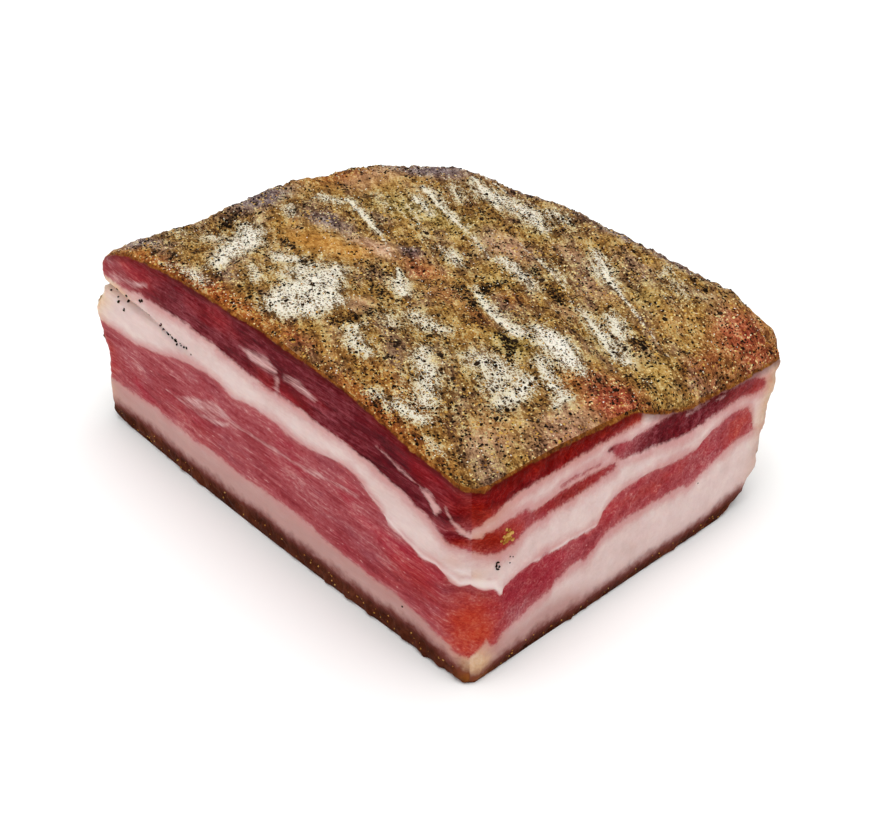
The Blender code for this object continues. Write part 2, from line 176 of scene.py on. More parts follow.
# Lines between the layers of a face: (place, height)
PAINT_FAT_TOP = (
    (0, 37), (5, 38.6), (10, 41.5), (12, 42.8), (15, 43.8), (20, 45), (30, 46.8), (40, 48),
    (50, 48.6), (60, 49), (67, 48.7), (75, 49.2), (90, 50.6), (100, 51.6), (120, 50.9),
    (128, 49.8), (134, 49.2), (141, 48.6),
)
PAINT_LEAN_TOP = (
    (0, 27.3), (3, 26.3), (5, 27), (8, 29.6), (10, 31), (14, 30), (20, 32), (25, 32.8),
    (26.5, 34.8), (32, 38.2), (34, 40.2), (36, 41), (40, 41.5), (45, 40.8), (50, 39.3),
    (57, 38.5), (67, 39.6), (75, 39.3), (81, 38.2), (86, 39.2), (92, 39.8), (102, 38.3),
    (106, 37.2), (110, 35.5), (115, 34), (125, 32.3), (141, 33),
)
PAINT_LEAN_FLOOR = (
    (0, 7), (5, 8.7), (10, 10.4), (15, 11.7), (20, 12.9), (30, 13.3), (50, 14.7), (52, 15.8),
    (57, 15.8), (70, 15.5), (75, 14.9), (90, 15.7), (100, 15.1), (107, 15.4), (110, 14.8),
    (115, 16), (120, 15.5), (130, 14.5), (141, 13.5),
)
PAINT_RIND_TOP = (
    (0, 3), (8, 4.6), (15, 5.6), (30, 5.2), (60, 5.4), (70, 6), (80, 5), (100, 5), (120, 5.6),
    (141, 4.5),
)
SHORT_CRUST_LINE = (
    (0, 56.3), (15, 56), (30, 55.3), (40, 54.4), (50, 53.6), (55, 52.8), (60, 50.5), (65, 48.2),
    (70, 46.5), (75, 44.8), (80, 44), (90, 43.5), (118, 42.5),
)
SHORT_TOP_LEAN_FLOOR = (
    (0, 44), (3, 44.9), (5, 47), (7, 48.5), (10, 49.5), (15, 50), (45, 50.4), (54, 50),
    (57, 50), (60, 53), (118, 60),
)
SHORT_LEAN_TOP = (
    (0, 27.3), (3, 25.8), (5, 25.3), (8, 25.4), (9.5, 24), (10.5, 22.8), (11, 24.5), (12.5, 25.3),
    (18, 26.8), (25, 27.3), (29, 26.6), (35, 26.3), (44, 25.6), (45.5, 27), (47, 29.2),
    (50, 30.6), (55, 31.5), (63, 32.3), (67, 31.7), (70, 30.7), (83, 30.2), (85, 32), (92, 34),
    (97, 34.6), (101, 34.2), (104, 32.5), (107, 28.5), (109, 24), (118, 22),
)
SHORT_LEAN_FLOOR = (
    (0, 7), (2, 8.2), (4, 9.6), (6, 10.6), (8, 9.4), (9.5, 9), (10.5, 10.3), (13, 11.6),
    (16, 12.4), (25, 14.1), (28, 14.8), (30, 17), (39, 18.3), (41, 17.3), (43.5, 18), (46, 20),
    (49, 21.6), (55, 22), (66, 22), (79, 21), (81, 20.1), (84, 20.4), (88, 21.6), (94, 22.9),
    (104, 25), (109, 25), (118, 26),
)
SHORT_RIND_TOP = ((0, 1.1), (5, 1.6), (9, 2.1), (14, 2.5), (60, 2.6), (90, 3.0), (105, 4.5), (118, 5))
BACK_RIND_TOP = ((0, 7), (50, 6), (100, 6.5), (141, 6))
LEFT_RIND_TOP = ((0, 4.5), (40, 6), (118, 6))

# Brush strokes of (place, height, half width): streaks of fat in the lean, and lean in the fat
FRONT_FAT_STROKES = (
    ((0, 41.6, 1.4), (2, 42.6, 0.8), (4, 44.4, 0.5), (6, 46.6, 0.3), (7.5, 48.8, 0.2)),
    ((15.5, 49.8, 0.3), (12.6, 48.9, 1.0), (11, 47.2, 1.4), (11, 45.2, 0.6)),
    ((11.5, 49.9, 0.3), (16, 50.6, 0.3), (21, 51.4, 0.25), (26, 52.6, 0.15), (30, 53.4, 0.05)),
)
SHORT_LEAN_STROKES = (
    (
        (0, 38.8, 1.7), (3, 38.6, 2.3), (6, 39.2, 3.4), (9, 39.8, 4.1), (12, 40.5, 4.2), (14.5, 41, 3.6),
        (16.5, 41.3, 3.0), (17.8, 41.2, 2.0),
    ),
    ((17.8, 39.8, 0.9), (20.3, 39.9, 0.9)),
    (
        (20.3, 40.6, 1.7), (25, 40.5, 1.7), (30, 41, 2.0), (37, 41, 1.9), (42, 40.9, 1.6),
        (46, 40.9, 1.3), (48.5, 41.1, 0.9),
    ),
    ((30, 44.7, 0.2), (34, 44.9, 0.35), (38, 44.5, 0.3), (43, 44.1, 0.2)),
    (
        (46.8, 46.7, 0.5), (48, 46.5, 1.0), (50.5, 44.9, 1.9), (52, 44, 2.1), (55, 43.7, 2.3),
        (58, 43.5, 2.6), (61, 43.2, 2.9), (64, 43, 3.2), (67, 42.7, 3.6), (70, 42.3, 3.7),
        (73, 41.8, 3.8), (76, 40.8, 3.5), (80, 40.7, 3.3), (90, 40.7, 2.8), (95, 40.7, 2.4),
        (99, 40.5, 2.3), (103, 39.8, 2.3), (107, 38.5, 1.6),
    ),
)
# Veils of fat that cloud the lean, and painted white highlights where they lie on the fat's lower
# edges and lip, each with its strength
FRONT_VEILS_AND_HIGHLIGHTS = (
    (0.66, ((81, 55.6, 0.5), (76, 55.4, 1.5), (70, 55.8, 2.0), (67, 55.4, 1.4))),
    (0.6, ((63, 55.2, 1.4), (58, 55.6, 1.6), (52, 54.3, 0.7))),
    (0.6, ((65.5, 53.4, 1.2), (65, 51.5, 1.1), (65.5, 49.5, 1.3))),
    (0.55, ((104, 25.6, 0.5), (97, 27.4, 1.9), (90, 29.4, 2.8), (86, 30.6, 2.6), (83, 30.6, 1.4))),
    (0.9, (
        (110, 24.7, 0.2), (104, 24.7, 0.3), (95, 25, 0.4), (90, 25.8, 0.6), (86, 27, 0.6), (82, 29, 0.4),
    )),
    (0.95, ((82, 29.6, 0.4), (75, 30.3, 0.45), (65, 31.2, 0.45), (55, 32, 0.45), (50, 32.3, 0.4))),
    (0.75, ((50, 32.4, 0.4), (45, 33.5, 0.5), (40, 34.4, 0.5), (35, 34.9, 0.5))),
    (0.6, ((34.5, 39.6, 0.5), (31, 38.2, 0.6), (27.5, 36.6, 0.5))),
    (0.6, ((30.5, 21.8, 0.3), (27, 20.9, 0.35), (24.5, 20.2, 0.3))),
    (0.5, ((139, 52.5, 0.6), (135, 50.6, 0.9), (130, 51, 1.4), (124, 52.8, 1.5), (120, 55.2, 1.0))),
    (0.7, ((139, 54.8, 0.3), (136, 52.9, 0.35), (131, 51.2, 0.4))),
    (0.6, ((137, 55, 0.3), (133, 53.4, 0.3), (130, 52.8, 0.3))),
    (0.35, ((110, 20.5, 0.8), (100, 22, 1.0), (92, 22.3, 0.6))),
    (0.35, ((128, 25, 0.5), (118, 26.5, 0.8), (108, 28, 0.5))),
    (0.9, (
        (26, 34.9, 0.25), (20, 32.9, 0.35), (14, 31, 0.5), (10, 31.8, 0.5), (6, 30, 0.6), (3, 28, 0.8),
        (0, 28.6, 1.0),
    )),
    (0.55, ((0, 31, 1.6), (4, 31.4, 0.9))),
)
SHORT_VEILS_AND_HIGHLIGHTS = (
    (0.9, ((0, 28.6, 1.1), (5, 27.6, 1.2), (8, 27.2, 1.1), (10, 24.6, 0.8))),
    (0.9, ((22, 27.4, 0.5), (28, 26.9, 0.6), (35, 26.7, 0.5), (44, 25.9, 0.4))),
    (0.7, ((76, 43.3, 0.5), (80, 43.1, 0.8), (85, 43.2, 0.6))),
    (0.8, ((88, 42.2, 0.5), (91, 42.1, 0.5))),
    (0.45, ((57, 29, 0.6), (58, 27.4, 0.9), (60, 27.8, 0.5))),
    (0.35, ((80, 27.6, 0.6), (82, 26.4, 0.7))),
    (0.35, ((67, 28.5, 0.5), (70, 27.5, 0.6))),
    (0.35, ((52, 41.5, 1.6), (58, 40.6, 1.4), (64, 39.2, 1.0))),
)
# Blobs of redder lean inside the veils
FRONT_LEAN_BLOBS = (
    ((78, 51.2, 0.9), (73, 51.4, 1.5), (68.5, 51.4, 1.3)),
    ((62, 51.2, 1.4), (57, 51, 1.9), (52, 50.8, 1.4)),
)

# Soft ovals of (place, height, half length, half height, strength). Deep and crimson are kinds of
# lean; glow is orange-red lean, and at the corners a painted glow of light shining through the
# meat. Wax is yellowed, see-through fat at the corners.
FRONT_OVALS = {
    "deep": (
        (62, 61, 66, 10, 1.0), (84, 54, 40, 5, 0.95), (36, 51, 28, 7, 1.0), (15, 50, 18, 7, 1.0),
        (118, 60, 30, 6, 0.35), (4, 41, 6, 2.2, 0.7), (46, 22, 14, 5, 0.1), (14, 24, 10, 7, 0.15),
    ),
    "crimson": (
        (17, 26, 12, 8, 1.0), (90, 36, 10, 3, 0.7), (125, 58, 14, 4, 1.0), (100, 60, 18, 4, 0.6),
        (60, 50, 9, 3, 0.6), (12, 55, 10, 6, 0.8), (30, 60, 12, 3, 0.4), (118, 18, 10, 3, 0.4),
        (46, 35, 12, 3, 0.4),
    ),
    "glow": (
        (0, 15, 8.5, 12, 0.85), (0, 50, 8, 8, 0.65), (3, 39.6, 5, 1.6, 0.85), (141, 22, 9, 12, 0.5),
        (72, 51.5, 7, 2.2, 0.4), (57, 51, 7, 2.2, 0.4), (141, 10, 7, 6, 0.5), (128, 57, 10, 4, 0.25),
        (100, 20, 14, 4, 0.2), (16, 22, 13, 9, 0.3), (5, 34, 3.5, 2, 0.5), (10, 32.5, 4, 1.4, 0.35),
    ),
    "wax": (
        (133, 47.4, 9, 1.9, 1.0), (120, 46, 8, 0.8, 0.5), (0, 4.5, 3.5, 4.2, 1.0), (141, 39, 7, 9, 1.0),
        (139, 9, 5, 5, 0.35),
    ),
}
SHORT_OVALS = {
    "deep": (
        (77, 42, 20, 5.4, 1.0), (66, 44.5, 8, 2.6, 0.6), (100, 40, 9, 3, 0.4), (46, 46.6, 3, 1.3, 0.6),
        (20, 54.5, 46, 5, 1.0), (6, 40, 9, 5, 0.45), (34, 41, 16, 3, 0.4), (20, 22, 12, 6, 0.25),
        (2, 49, 4, 5, 0.5), (85, 28, 8, 4, 0.15),
    ),
    "crimson": (
        (18, 24, 15, 9, 0.9), (42, 28, 14, 5, 0.5), (60, 33, 8, 3, 0.4), (20, 54, 40, 5, 1.0),
        (34, 41, 16, 3, 0.6),
    ),
    "glow": (
        (2, 15, 9, 11, 0.85), (0, 50, 14, 8, 0.9), (6, 40, 11, 5, 0.95), (34, 54.5, 46, 5, 1.0),
        (56, 51.5, 8, 2.4, 0.85), (34, 41, 16, 3, 0.55), (101, 29, 7, 6, 0.55), (104, 39, 8, 4, 0.5),
        (60, 27, 30, 6, 0.35), (96, 40, 10, 3, 0.4), (112, 34, 6, 14, 0.5), (113, 12, 8, 8, 0.4),
    ),
    "wax": (
        (3, 4.5, 5.5, 4.6, 1.0), (113, 34, 5.5, 15, 0.65), (2, 30, 4, 3, 0.4),
    ),
}

# ---------------------------------------------------------------- what is painted on the crust

# White bloom, as a strength and a stroke of (along, across, half width)
BLOOM = (
    (0.88, ((130, 42, 2), (124, 38, 4), (117, 28, 4.2), (110, 18, 3.6), (105, 11, 2.2))),
    (0.8, ((115, 2.5, 0.8), (112.5, 2.5, 0.8))),
    (1.0, ((108, 3, 1.2), (102, 3.5, 1.6), (98, 2.5, 0.8))),
    (0.8, ((106, 31, 1.5), (101, 28, 2.5), (98, 31, 2))),
    (0.75, ((99, 17, 0.8), (95, 14.5, 1.4), (90, 12, 1))),
    (0.84, ((87, 36, 2), (83, 28, 5), (78, 20, 7.5), (77, 12, 7))),
    (0.9, ((72, 14, 4), (71, 22, 3.5))),
    (0.7, ((92, 30, 3), (88, 22, 3))),
    (1.0, ((78, 49, 0.8), (74, 45, 1.5), (70, 42, 1.8), (66, 40, 1.2))),
    (0.9, ((59, 20, 0.8), (58, 16, 1.6), (52, 13, 2), (48, 12.5, 1.2))),
    (0.75, ((57, 35, 1.2), (52, 35, 2), (48, 37, 1.4))),
    (0.6, ((60, 28, 1), (54, 26, 1.4))),
    (0.85, ((43, 26, 1), (40, 22, 1.8), (35, 20, 1.8), (31, 16, 1.5), (28, 12, 1.8))),
    (0.85, ((36, 4, 1.5), (31, 6, 2.4), (24, 8, 2))),
    (0.7, ((18, 4, 0.8), (13, 3.5, 1.2))),
    (0.6, ((34, 34, 3), (28, 36, 4), (23, 30, 3))),
    (1.0, ((21, 39, 2), (18.5, 33, 2), (18, 27, 1.6))),
    (1.0, ((35, 58, 2.5), (28, 57, 4.5), (20, 54, 3), (15.5, 53, 1.2))),
    (0.95, ((24, 47, 2), (17, 43.5, 2), (12, 42.5, 2.2), (10.5, 38, 1))),
    (0.9, ((60, 60, 0.8), (55, 57, 1), (49, 55.5, 1.4), (42, 53, 1.8), (36, 53, 2.5))),
    (0.9, ((67, 77.5, 1.8), (62, 77, 2.2), (56, 75.5, 1.8), (51, 73.5, 1.2))),
    (0.8, ((112, 92, 1.2), (106, 91, 1.4), (100, 87.5, 1), (92, 84, 1.3), (86, 82, 1))),
    (0.7, ((86, 82, 0.8), (78, 79, 0.6), (71, 75.5, 0.5))),
    (0.85, ((108, 86, 0.8), (103, 83, 1.2), (99, 81, 0.8))),
    (0.8, ((120, 72, 0.5), (112, 68, 1), (105, 65, 1), (98, 61, 0.6))),
    (0.85, ((126, 67.5, 1.2), (119, 67, 1.5))),
    (0.9, ((82, 66.5, 0.8), (78, 68, 1.6), (73, 66, 1.4))),
    (0.85, ((127, 57, 0.8), (124, 54, 1.8), (122, 52.5, 1))),
    (0.5, ((135, 62, 1), (131, 61.5, 0.8))),
    (0.6, ((119, 80, 0.5), (112, 77, 0.8), (105, 73, 1.2))),
    (0.6, ((105, 80, 0.6), (96, 74, 0.7), (87, 68, 0.8))),
    (0.7, ((110, 101, 1), (105, 97, 1.8), (100, 94, 1))),
    (0.75, ((108, 108, 2), (102, 105, 3.5), (94, 105, 3))),
    (0.85, ((88, 104, 2.5), (82, 103, 3), (74, 100, 2))),
    (0.8, ((79, 108, 2), (73, 109, 2))),
    (0.95, ((55, 102, 1.2), (50, 99, 2.4), (45, 95, 2), (40, 92.5, 0.8), (36, 90.5, 0.6))),
    (0.6, ((62, 88, 0.8), (55, 86, 1.4), (48, 83, 1.2))),
    (0.7, ((36, 112, 1.2), (34.5, 107, 1.2))),
    (0.5, ((30, 105, 1), (22, 102, 1))),
    (0.85, ((29, 80, 1.5), (25, 78, 2.4), (22, 76, 1.5))),
    (0.95, ((38, 77, 0.4), (30, 74, 0.8), (22, 70.5, 1.4), (14.5, 68, 2))),
    (0.5, ((132, 33, 2), (126, 25, 3))),
    (0.45, ((138, 26, 1.5), (137, 17, 1.5))),
)
BLOOM_SOFTNESS = 2.6
# Where bloom is thinner and speckled: soft ovals of (along, across, half length, half width, strength)
FLOUR = (
    (28, 36, 12, 10, 0.42), (40, 30, 11, 7, 0.26), (33, 17, 13, 9, 0.36), (55, 33, 10, 8, 0.34),
    (52, 16, 11, 7, 0.18), (15, 18, 9, 9, 0.14), (122, 30, 17, 14, 0.36), (92, 27, 14, 15, 0.34),
    (88, 103, 25, 7, 0.42), (103, 84, 13, 7, 0.26), (45, 94, 14, 6, 0.24), (58, 77, 12, 5, 0.26),
    (22, 74, 10, 7, 0.38), (24, 104, 12, 6, 0.24), (27, 52, 13, 7, 0.3), (126, 66, 10, 4, 0.25),
    (128, 56, 6, 5, 0.25), (76, 66, 9, 4, 0.25), (100, 6, 16, 5, 0.2), (72, 44, 9, 7, 0.16),
)
# Dark clots of pepper and dried juice
CHAR = (
    (1.0, ((136, 44, 1.2), (135, 39, 1.2))),
    (0.9, ((114, 40, 0.8), (108, 37.5, 1.4))),
    (0.7, ((97, 31.5, 1.5), (93, 32, 1))),
    (0.7, ((88, 9, 1), (85, 9, 1), (84.5, 5, 0.6))),
    (0.6, ((63, 29, 1.5), (62, 22, 2), (63, 16, 1.5))),
    (0.55, ((86, 45, 2), (80, 44, 2.5))),
    (1.0, ((58, 70, 0.6), (58, 64, 1.0), (57, 59, 0.7))),
    (0.7, ((63, 56, 1.4), (60, 54, 1.4), (53, 52, 1.4))),
    (0.8, ((58, 82, 1.4), (57, 80, 1.4))),
    (0.7, ((59, 75, 1.2), (57, 74.5, 1.2))),
    (0.66, ((37, 47, 1.5), (33, 44.5, 2.5), (30, 43, 1.6))),
    (0.6, ((48, 77, 1.5), (42, 75, 2))),
    (0.6, ((17, 79, 1.5), (14, 76, 2))),
    (0.6, ((17, 26, 1), (16, 23, 1))),
    (0.7, ((8, 64.5, 0.6), (3, 66, 0.8))),
    (0.6, ((12.5, 12, 1.3), (12, 13, 1.3))),
    (0.8, ((33.5, 1.8, 0.9), (31, 1.5, 0.8))),
    (0.5, ((128, 80, 1.8), (127, 77, 1.5))),
    (0.5, ((76, 38, 1.5), (70, 35, 1.5), (66, 33, 1))),
    (0.5, ((95, 94, 1), (85, 92, 1.5))),
    (0.45, ((47, 101, 0.8), (40, 100, 1.2))),
)
# Long cream scratches, dragged down and to the near corner
DRAGS = (
    (1.0, ((112, 92, 0.5), (97, 85, 0.4), (81.5, 80.4, 0.2), (70, 75.5, 0.2))),
    (1.0, ((108.5, 85, 0.6), (98.5, 81, 0.3))),
    (1.0, ((120, 71, 0.5), (108.5, 66, 0.6), (98.5, 61.7, 0.3), (84, 51.5, 0.0))),
    (0.95, ((79, 91, 0.1), (67, 87.5, 0.2), (59, 85.7, 0.5), (49, 82.6, 0.3), (39, 77, 0.1))),
    (0.9, ((67, 80.4, 0.2), (50, 73.4, 0.1), (36, 68.4, 0.2))),
    (1.0, ((42, 77.6, 0.2), (27.5, 72.7, 0.4), (16, 67, 0.6))),
    (1.0, ((50, 99.6, 0.6), (42, 93.2, 0.6), (33, 89, 0.4), (20.6, 84, 0.2), (9, 81, 0.1))),
    (0.9, ((111, 109.5, 0.8), (100, 104.5, 0.8), (87, 96.7, 0.4))),
    (0.85, ((118, 82, 0.3), (108.5, 77, 0.3), (94, 71.2, 0.2), (84, 65.6, 0.1))),
    (0.95, ((59, 58.5, 0.3), (47.5, 53.5, 0.8), (36, 50.7, 0.9))),
    (0.95, ((80, 50, 0.3), (73, 44.3, 0.7), (66, 40, 0.5))),
    (0.85, ((84, 105.2, 0.4), (74, 99.6, 0.6), (61.6, 95.3, 0.2))),
    (0.85, ((112.7, 113.7, 0.6), (98.5, 110.2, 0.6), (81.5, 108, 0.3))),
    (0.85, ((34.7, 111, 0.4), (27.6, 106.7, 0.3), (19, 103, 0.2))),
    (0.8, ((95, 92, 0.1), (84, 87, 0.2), (76, 84.5, 0.1))),
    (0.8, ((104, 98, 0.3), (92, 91, 0.2), (86, 89.5, 0.1))),
    (0.8, ((64, 105, 0.3), (52, 101, 0.1), (44, 99.5, 0.1))),
    (0.75, ((58, 66, 0.1), (46, 62, 0.1), (34, 61, 0.1))),
)
DRAG_SOFTNESS = 2.2
# Soft ovals of (along, across, half length, half width, strength), one set for each tint
TINTS = {
    "red": (
        (3, 53, 11, 9.5, 1.0), (4, 107, 10, 13, 0.85), (2, 92, 6, 18, 0.5), (76, 55, 9, 6, 0.6),
        (48, 49, 7, 4, 0.4), (100, 3, 14, 3, 0.5), (62, 4, 8, 4, 0.4), (90, 47, 5, 5, 0.3),
        (0, 30, 3, 14, 0.4),
    ),
    "gold": (
        (104, 43, 13, 6, 1.0), (93, 45, 6, 6, 0.9), (126, 84, 7, 12, 0.4), (120, 48, 6, 3, 0.5),
        (18, 92, 7, 8, 0.5), (6, 74, 5, 6, 0.45), (53, 7, 9, 4, 0.5), (14, 20, 8, 6, 0.4),
        (44, 40, 9, 6, 0.35), (98, 72, 10, 6, 0.4), (34, 10, 16, 6, 0.35), (64, 60, 10, 6, 0.3),
    ),
    "olive": (
        (102, 78, 15, 10, 0.9), (88, 82, 9, 7, 0.7), (60, 68, 8, 6, 0.4), (30, 92, 14, 8, 0.5),
        (22, 68, 9, 4, 0.5), (72, 97, 10, 5, 0.4), (38, 30, 14, 8, 0.3), (34, 46, 7, 5, 1.0),
        (6, 74, 6, 7, 0.8),
    ),
    "plum": (
        (112, 56, 10, 5, 0.8), (137, 56, 6, 13, 1.0), (124, 108, 14, 10, 1.0), (84, 59, 5, 3, 0.8),
        (104, 68, 6, 3, 0.5), (137, 8, 9, 8, 0.8), (98, 8, 9, 4, 0.35), (72, 74, 6, 4, 0.35),
        (110, 116, 40, 4, 0.9), (8, 8, 5, 4, 0.4), (50, 116, 34, 4, 0.8), (22, 106, 10, 4, 0.4),
    ),
    "blush": (
        (70, 84, 9, 6, 0.8), (92, 53, 9, 4, 0.9), (38, 72, 7, 4, 0.5), (60, 96, 9, 4, 0.5),
        (3, 34, 8, 14, 0.8), (11, 16, 7, 8, 0.7), (68, 26, 4, 6, 0.5), (112, 90, 10, 5, 0.3),
        (40, 88, 14, 6, 0.5), (62, 50, 10, 8, 0.35), (128, 90, 8, 14, 0.55),
    ),
    "rust": (
        (100, 1, 44, 5, 0.95), (30, 1, 24, 5, 0.8), (66, 3, 14, 5, 0.6), (136, 84, 8, 16, 0.6),
        (15, 50, 5, 10, 0.6), (34, 10, 20, 5, 0.5), (60, 50, 9, 6, 0.5), (50, 64, 7, 5, 0.5),
    ),
    "bare": (
        (104, 43, 14, 7, 1.0), (92, 54, 9, 5, 0.8), (68, 26, 4, 7, 0.7), (126, 84, 7, 14, 0.7),
        (122, 104, 12, 10, 0.5),
    ),
}

# ---------------------------------------------------------------- fine relief and painted fields

MEAT_PAINTS = ("fat", "veil", "deep", "crimson", "glow", "rind", "crust", "dry", "wax", "mauve")
PAINTS = (*MEAT_PAINTS, "bloom", "char", "drag", *TINTS)
VEIL_AND_HIGHLIGHT_SOFTNESS = 1.0
CHAR_SOFTNESS = 1.8
BLOB_EDGE = 0.5
# Rub laps over the rim of a wall by this much
FRONT_LAP = 0.65
SHORT_LAP = 0.6
GROWN_LAP = 1.5
TOP_CRUST = 5.0
# A field that eases along a wall: from and to, what it starts with and what it gains
FRONT_DRY = (136, 141, 0, 0.35)
FRONT_MAUVE = (2, 10, 0.35, 0.3)
SHORT_DRY = (106, 118, 0, 0.7)
SHORT_MAUVE = (30, 55, 0.5, -0.6)
GROWN_PAINT = {"veil": 0, "deep": 0.35, "glow": 0.2, "dry": 1, "wax": 0, "mauve": 0}

NOISE_WAVES = 10
NOISE_TURN = 6.3
NOISE_PITCH = (2.4, 4.2)
NOISE_BEND = (1.7, 2.3)
# Fine relief: its height and the size of its lumps, in millimetres, and its seed
RELIEF = {
    "fibres": (0.1, 1.6, 21), "meat": (0.05, 3.5, 22), "crumbs": (0.16, 1.3, 23), "swells": (0.2, 3.2, 24),
    "grown": (0.45, 5.0, 25), "wrinkles": (0.2, 1.8, 26), "rind": (0.18, 2.2, 27),
}
FIBRE_STRETCH = (0.12, 1, 1)
FAT_STEP = 0.22
BLOOM_STEP = 0.12
CHAR_STEP = -0.25
BARE_CALM = 0.75
# Where one surface gives way to the next, as from and to
CRUST_EDGE_EASE = (-0.4, 0.6)
RIND_EASE = (0, 1.5)
FAT_EASE = (-0.3, 0.9)
# The ledge of fat at the near corner: its reach, the heights where it comes and goes, how far into
# the fat its lip is, and how far into the lean and how deep its groove is
LEDGE_REACH = 9
LEDGE_FOOT = (20, 23)
LEDGE_HEAD = (33, 30)
LEDGE_LIP = 1.3
LEDGE_GROOVE = (0.9, 0.8)
LEDGE_STEP = 0.8
TINY = 1e-6
SHARE_DIGITS = 6

# ---------------------------------------------------------------- loose spice

GRAIN_SHAPES = 8
GRAIN_CORNERS = (0.7, 1.15)
GRAIN_WIDTH = (0.6, 1)
SHARP_GRAINS = ((0.5, 0.9), 41)
FLAT_GRAINS = ((0.3, 0.6), 42)
GRAIN_TIP = 0.5
SPICE_SEED = 31
SPOT_BATCH = 4000
EDGE_CLEAR = 0.5
EDGE_SHARE = 0.002
DROP_HEIGHT = 20

# How many loose grains lie on the crust, and their radii, most of them near the first
GROUND_PEPPER = (5800, (0.16, 0.48))
CLOT_PEPPER = (240, (0.25, 0.6))
PEPPER_FLAKES = (260, (0.4, 0.8))
PALE_GRAINS = (1500, (0.14, 0.32))
GOLDEN_GRAINS = (1300, (0.18, 0.4))
# Pepper lies in clumps: their strength, size and seed
CLUMP = (0.6, 8.0, 51)
# Its chance between the clumps and what a clump adds, and how much of that a bare swell takes away
CLUMP_CHANCE = (0.06, 0.9)
PEPPER_CHAR_SOFTNESS = 3.0
PEPPER_BARE = 0.93
CLOT_SOFTNESS = 1.6
# The chance of pale grains and what bloom adds, and of golden grains and what a golden patch adds
PALE_CHANCE = (0.225, 0.675)
PALE_SOFTNESS = 2.4
GOLDEN_CHANCE = (0.2, 0.4)
GOLDEN_EDGE = 2.0
GOLDEN_BARE = 0.6

# Pepper in the split: from, to and step along it, its chance at the start and what that gains,
# its drop below the split's middle, its scatter, and what that gains past the mouth
SPLIT_PEPPER = (100, 140, 0.45)
SPLIT_PEPPER_CHANCE = (0.35, 0.6)
SPLIT_PEPPER_DROP = 0.4
SPLIT_PEPPER_SCATTER = (0.45, 0.5)
SPLIT_MOUTH_START = 126
SPLIT_PEPPER_RADIUS = (0.25, 0.6)
FRONT_STRAYS = (
    (131, 47.8), (126.5, 47.8), (126, 46), (120.5, 49), (119.5, 49.5), (111.5, 46.3),
    (114, 44.7), (106, 44.8), (111.5, 43.3), (100, 42.6), (128, 42.7), (20.7, 11),
)
# A ring of pepper on the short face: middle, half sizes, turn from, to and step, and scatter
RING_MIDDLE = (9, 32.3)
RING_HALF = (0.55, 1.05)
RING_TURN = (1.1, 6.4, 0.3)
RING_SCATTER = (0.08, 0.1)
RING_RADIUS = (0.22, 0.38)
SHORT_STRAYS = ((12.9, 33.5), (13.9, 33.0), (13.0, 31.7), (86, 18.6))
# Spice on the crust's end over the short face: piece, how many, radii and material
CRUST_END = (52, 117)
CRUST_END_CLEAR = 0.4
CRUST_END_SPICE = (
    ("pepper_on_the_crust_end", 210, (0.16, 0.42), "ground_pepper"),
    ("coriander_on_the_crust_end", 90, (0.16, 0.36), "coriander_grains"),
)
# Golden crumbs: a heap on the short face, and rows on the rind
CRUMB_HEAP = (26, (12, 39.2), 0.9)
CRUMB_RADIUS = (0.35, 0.75)
RIND_CRUMBS = (
    ("front", 64, (4, 136), (1.4, 4.6), (0.12, 0.36)),
    ("short", 36, (12, 108), (0.8, 3.6), (0.12, 0.3)),
)

# ---------------------------------------------------------------- finishes

FACTOR, FLOAT_A, FLOAT_B, COLOUR_A, COLOUR_B, COLOUR_OUT = 0, 2, 3, 6, 7, 2
# Cured meat is about 1.4; a matt, dried cut mirrors far less of the white room
MEAT_IOR = 1.15
SHEEN = 0.1
# Red light goes deepest under the surface, in millimetres for red, green and blue
FLESH_DEPTH = 1.6
FLESH_REACH = (1.0, 0.35, 0.22)
GRAIN_DEPTH = 0.3
# Rub is dragged in one direction, down and to the near corner
DRAG_TURN = math.radians(-27)
FIBRE_TURN = math.radians(1.5)
BUNDLE_TURN = math.radians(2)
MIDDLE_TONE = 0.5
NOISE_GAIN = 4.0
# Places are pushed about by up to 0.3 mm in ripples of 0.6 mm, so that grains and threads are ragged
RIPPLE_SIZE = 0.6
RIPPLE_PUSH = 0.3
# Grains: where a grain starts and is full, what is added to the sum, and how much the sum gains by
# the grain's own number and loses with the distance from its middle
GRAIN_EDGE = (0.42, 0.58)
GRAIN_START = -0.12
GRAIN_LUCK = 0.8
GRAIN_ROUND = -0.75
# Threads between grains: where a thread ends and is full, and how far the sum widens it
THREAD_EDGE = (-0.02, 0.025)
THREAD_REACH = 0.3

# Noise patterns: lumps in millimetres, detail, roughness, how far they are drawn out, and their turn
CRUST_PATTERNS = {
    "wide": (17, 3, 0.6),
    "hue": (8, 4, 0.6, (2.2, 1, 1), DRAG_TURN),
    "mottle": (4.5, 5, 0.68),
    "dragged": (1.9, 4, 0.62, (7, 1, 1), DRAG_TURN),
    "sand": (0.8, 3, 0.7),
    "scratch": (0.55, 2, 0.6, (4, 1, 1), DRAG_TURN),
}
MEAT_PATTERNS = {
    # Muscle fibres run along the slab: 0.5 mm thick on the long face, dots on the short one
    "fibre": (0.5, 3, 0.62, (16, 1, 1), FIBRE_TURN),
    "bundle": (2.2, 4, 0.6, (6, 1, 1), BUNDLE_TURN),
    "cloud": (9, 3, 0.5, (1.6, 1, 1)),
    "hue": (12, 3, 0.6, (1.8, 1, 0.7)),
    "fleck": (0.7, 2, 0.6, (2, 1, 1)),
    "wander": (3.4, 4, 0.62, (1.8, 1, 1)),
}
RIND_PATTERNS = {"pores": (1.4, 3, 0.6), "blotch": (7, 4, 0.6)}
CUT_PATTERNS = {"ragged": (2.6, 4, 0.6), "crumb": (1.1, 3, 0.7)}
DRIED_PATTERNS = {
    "ragged": (3.2, 4, 0.62), "blotch": (11, 4, 0.6), "wide": (24, 3, 0.55), "crumb": (1.1, 3, 0.7),
}
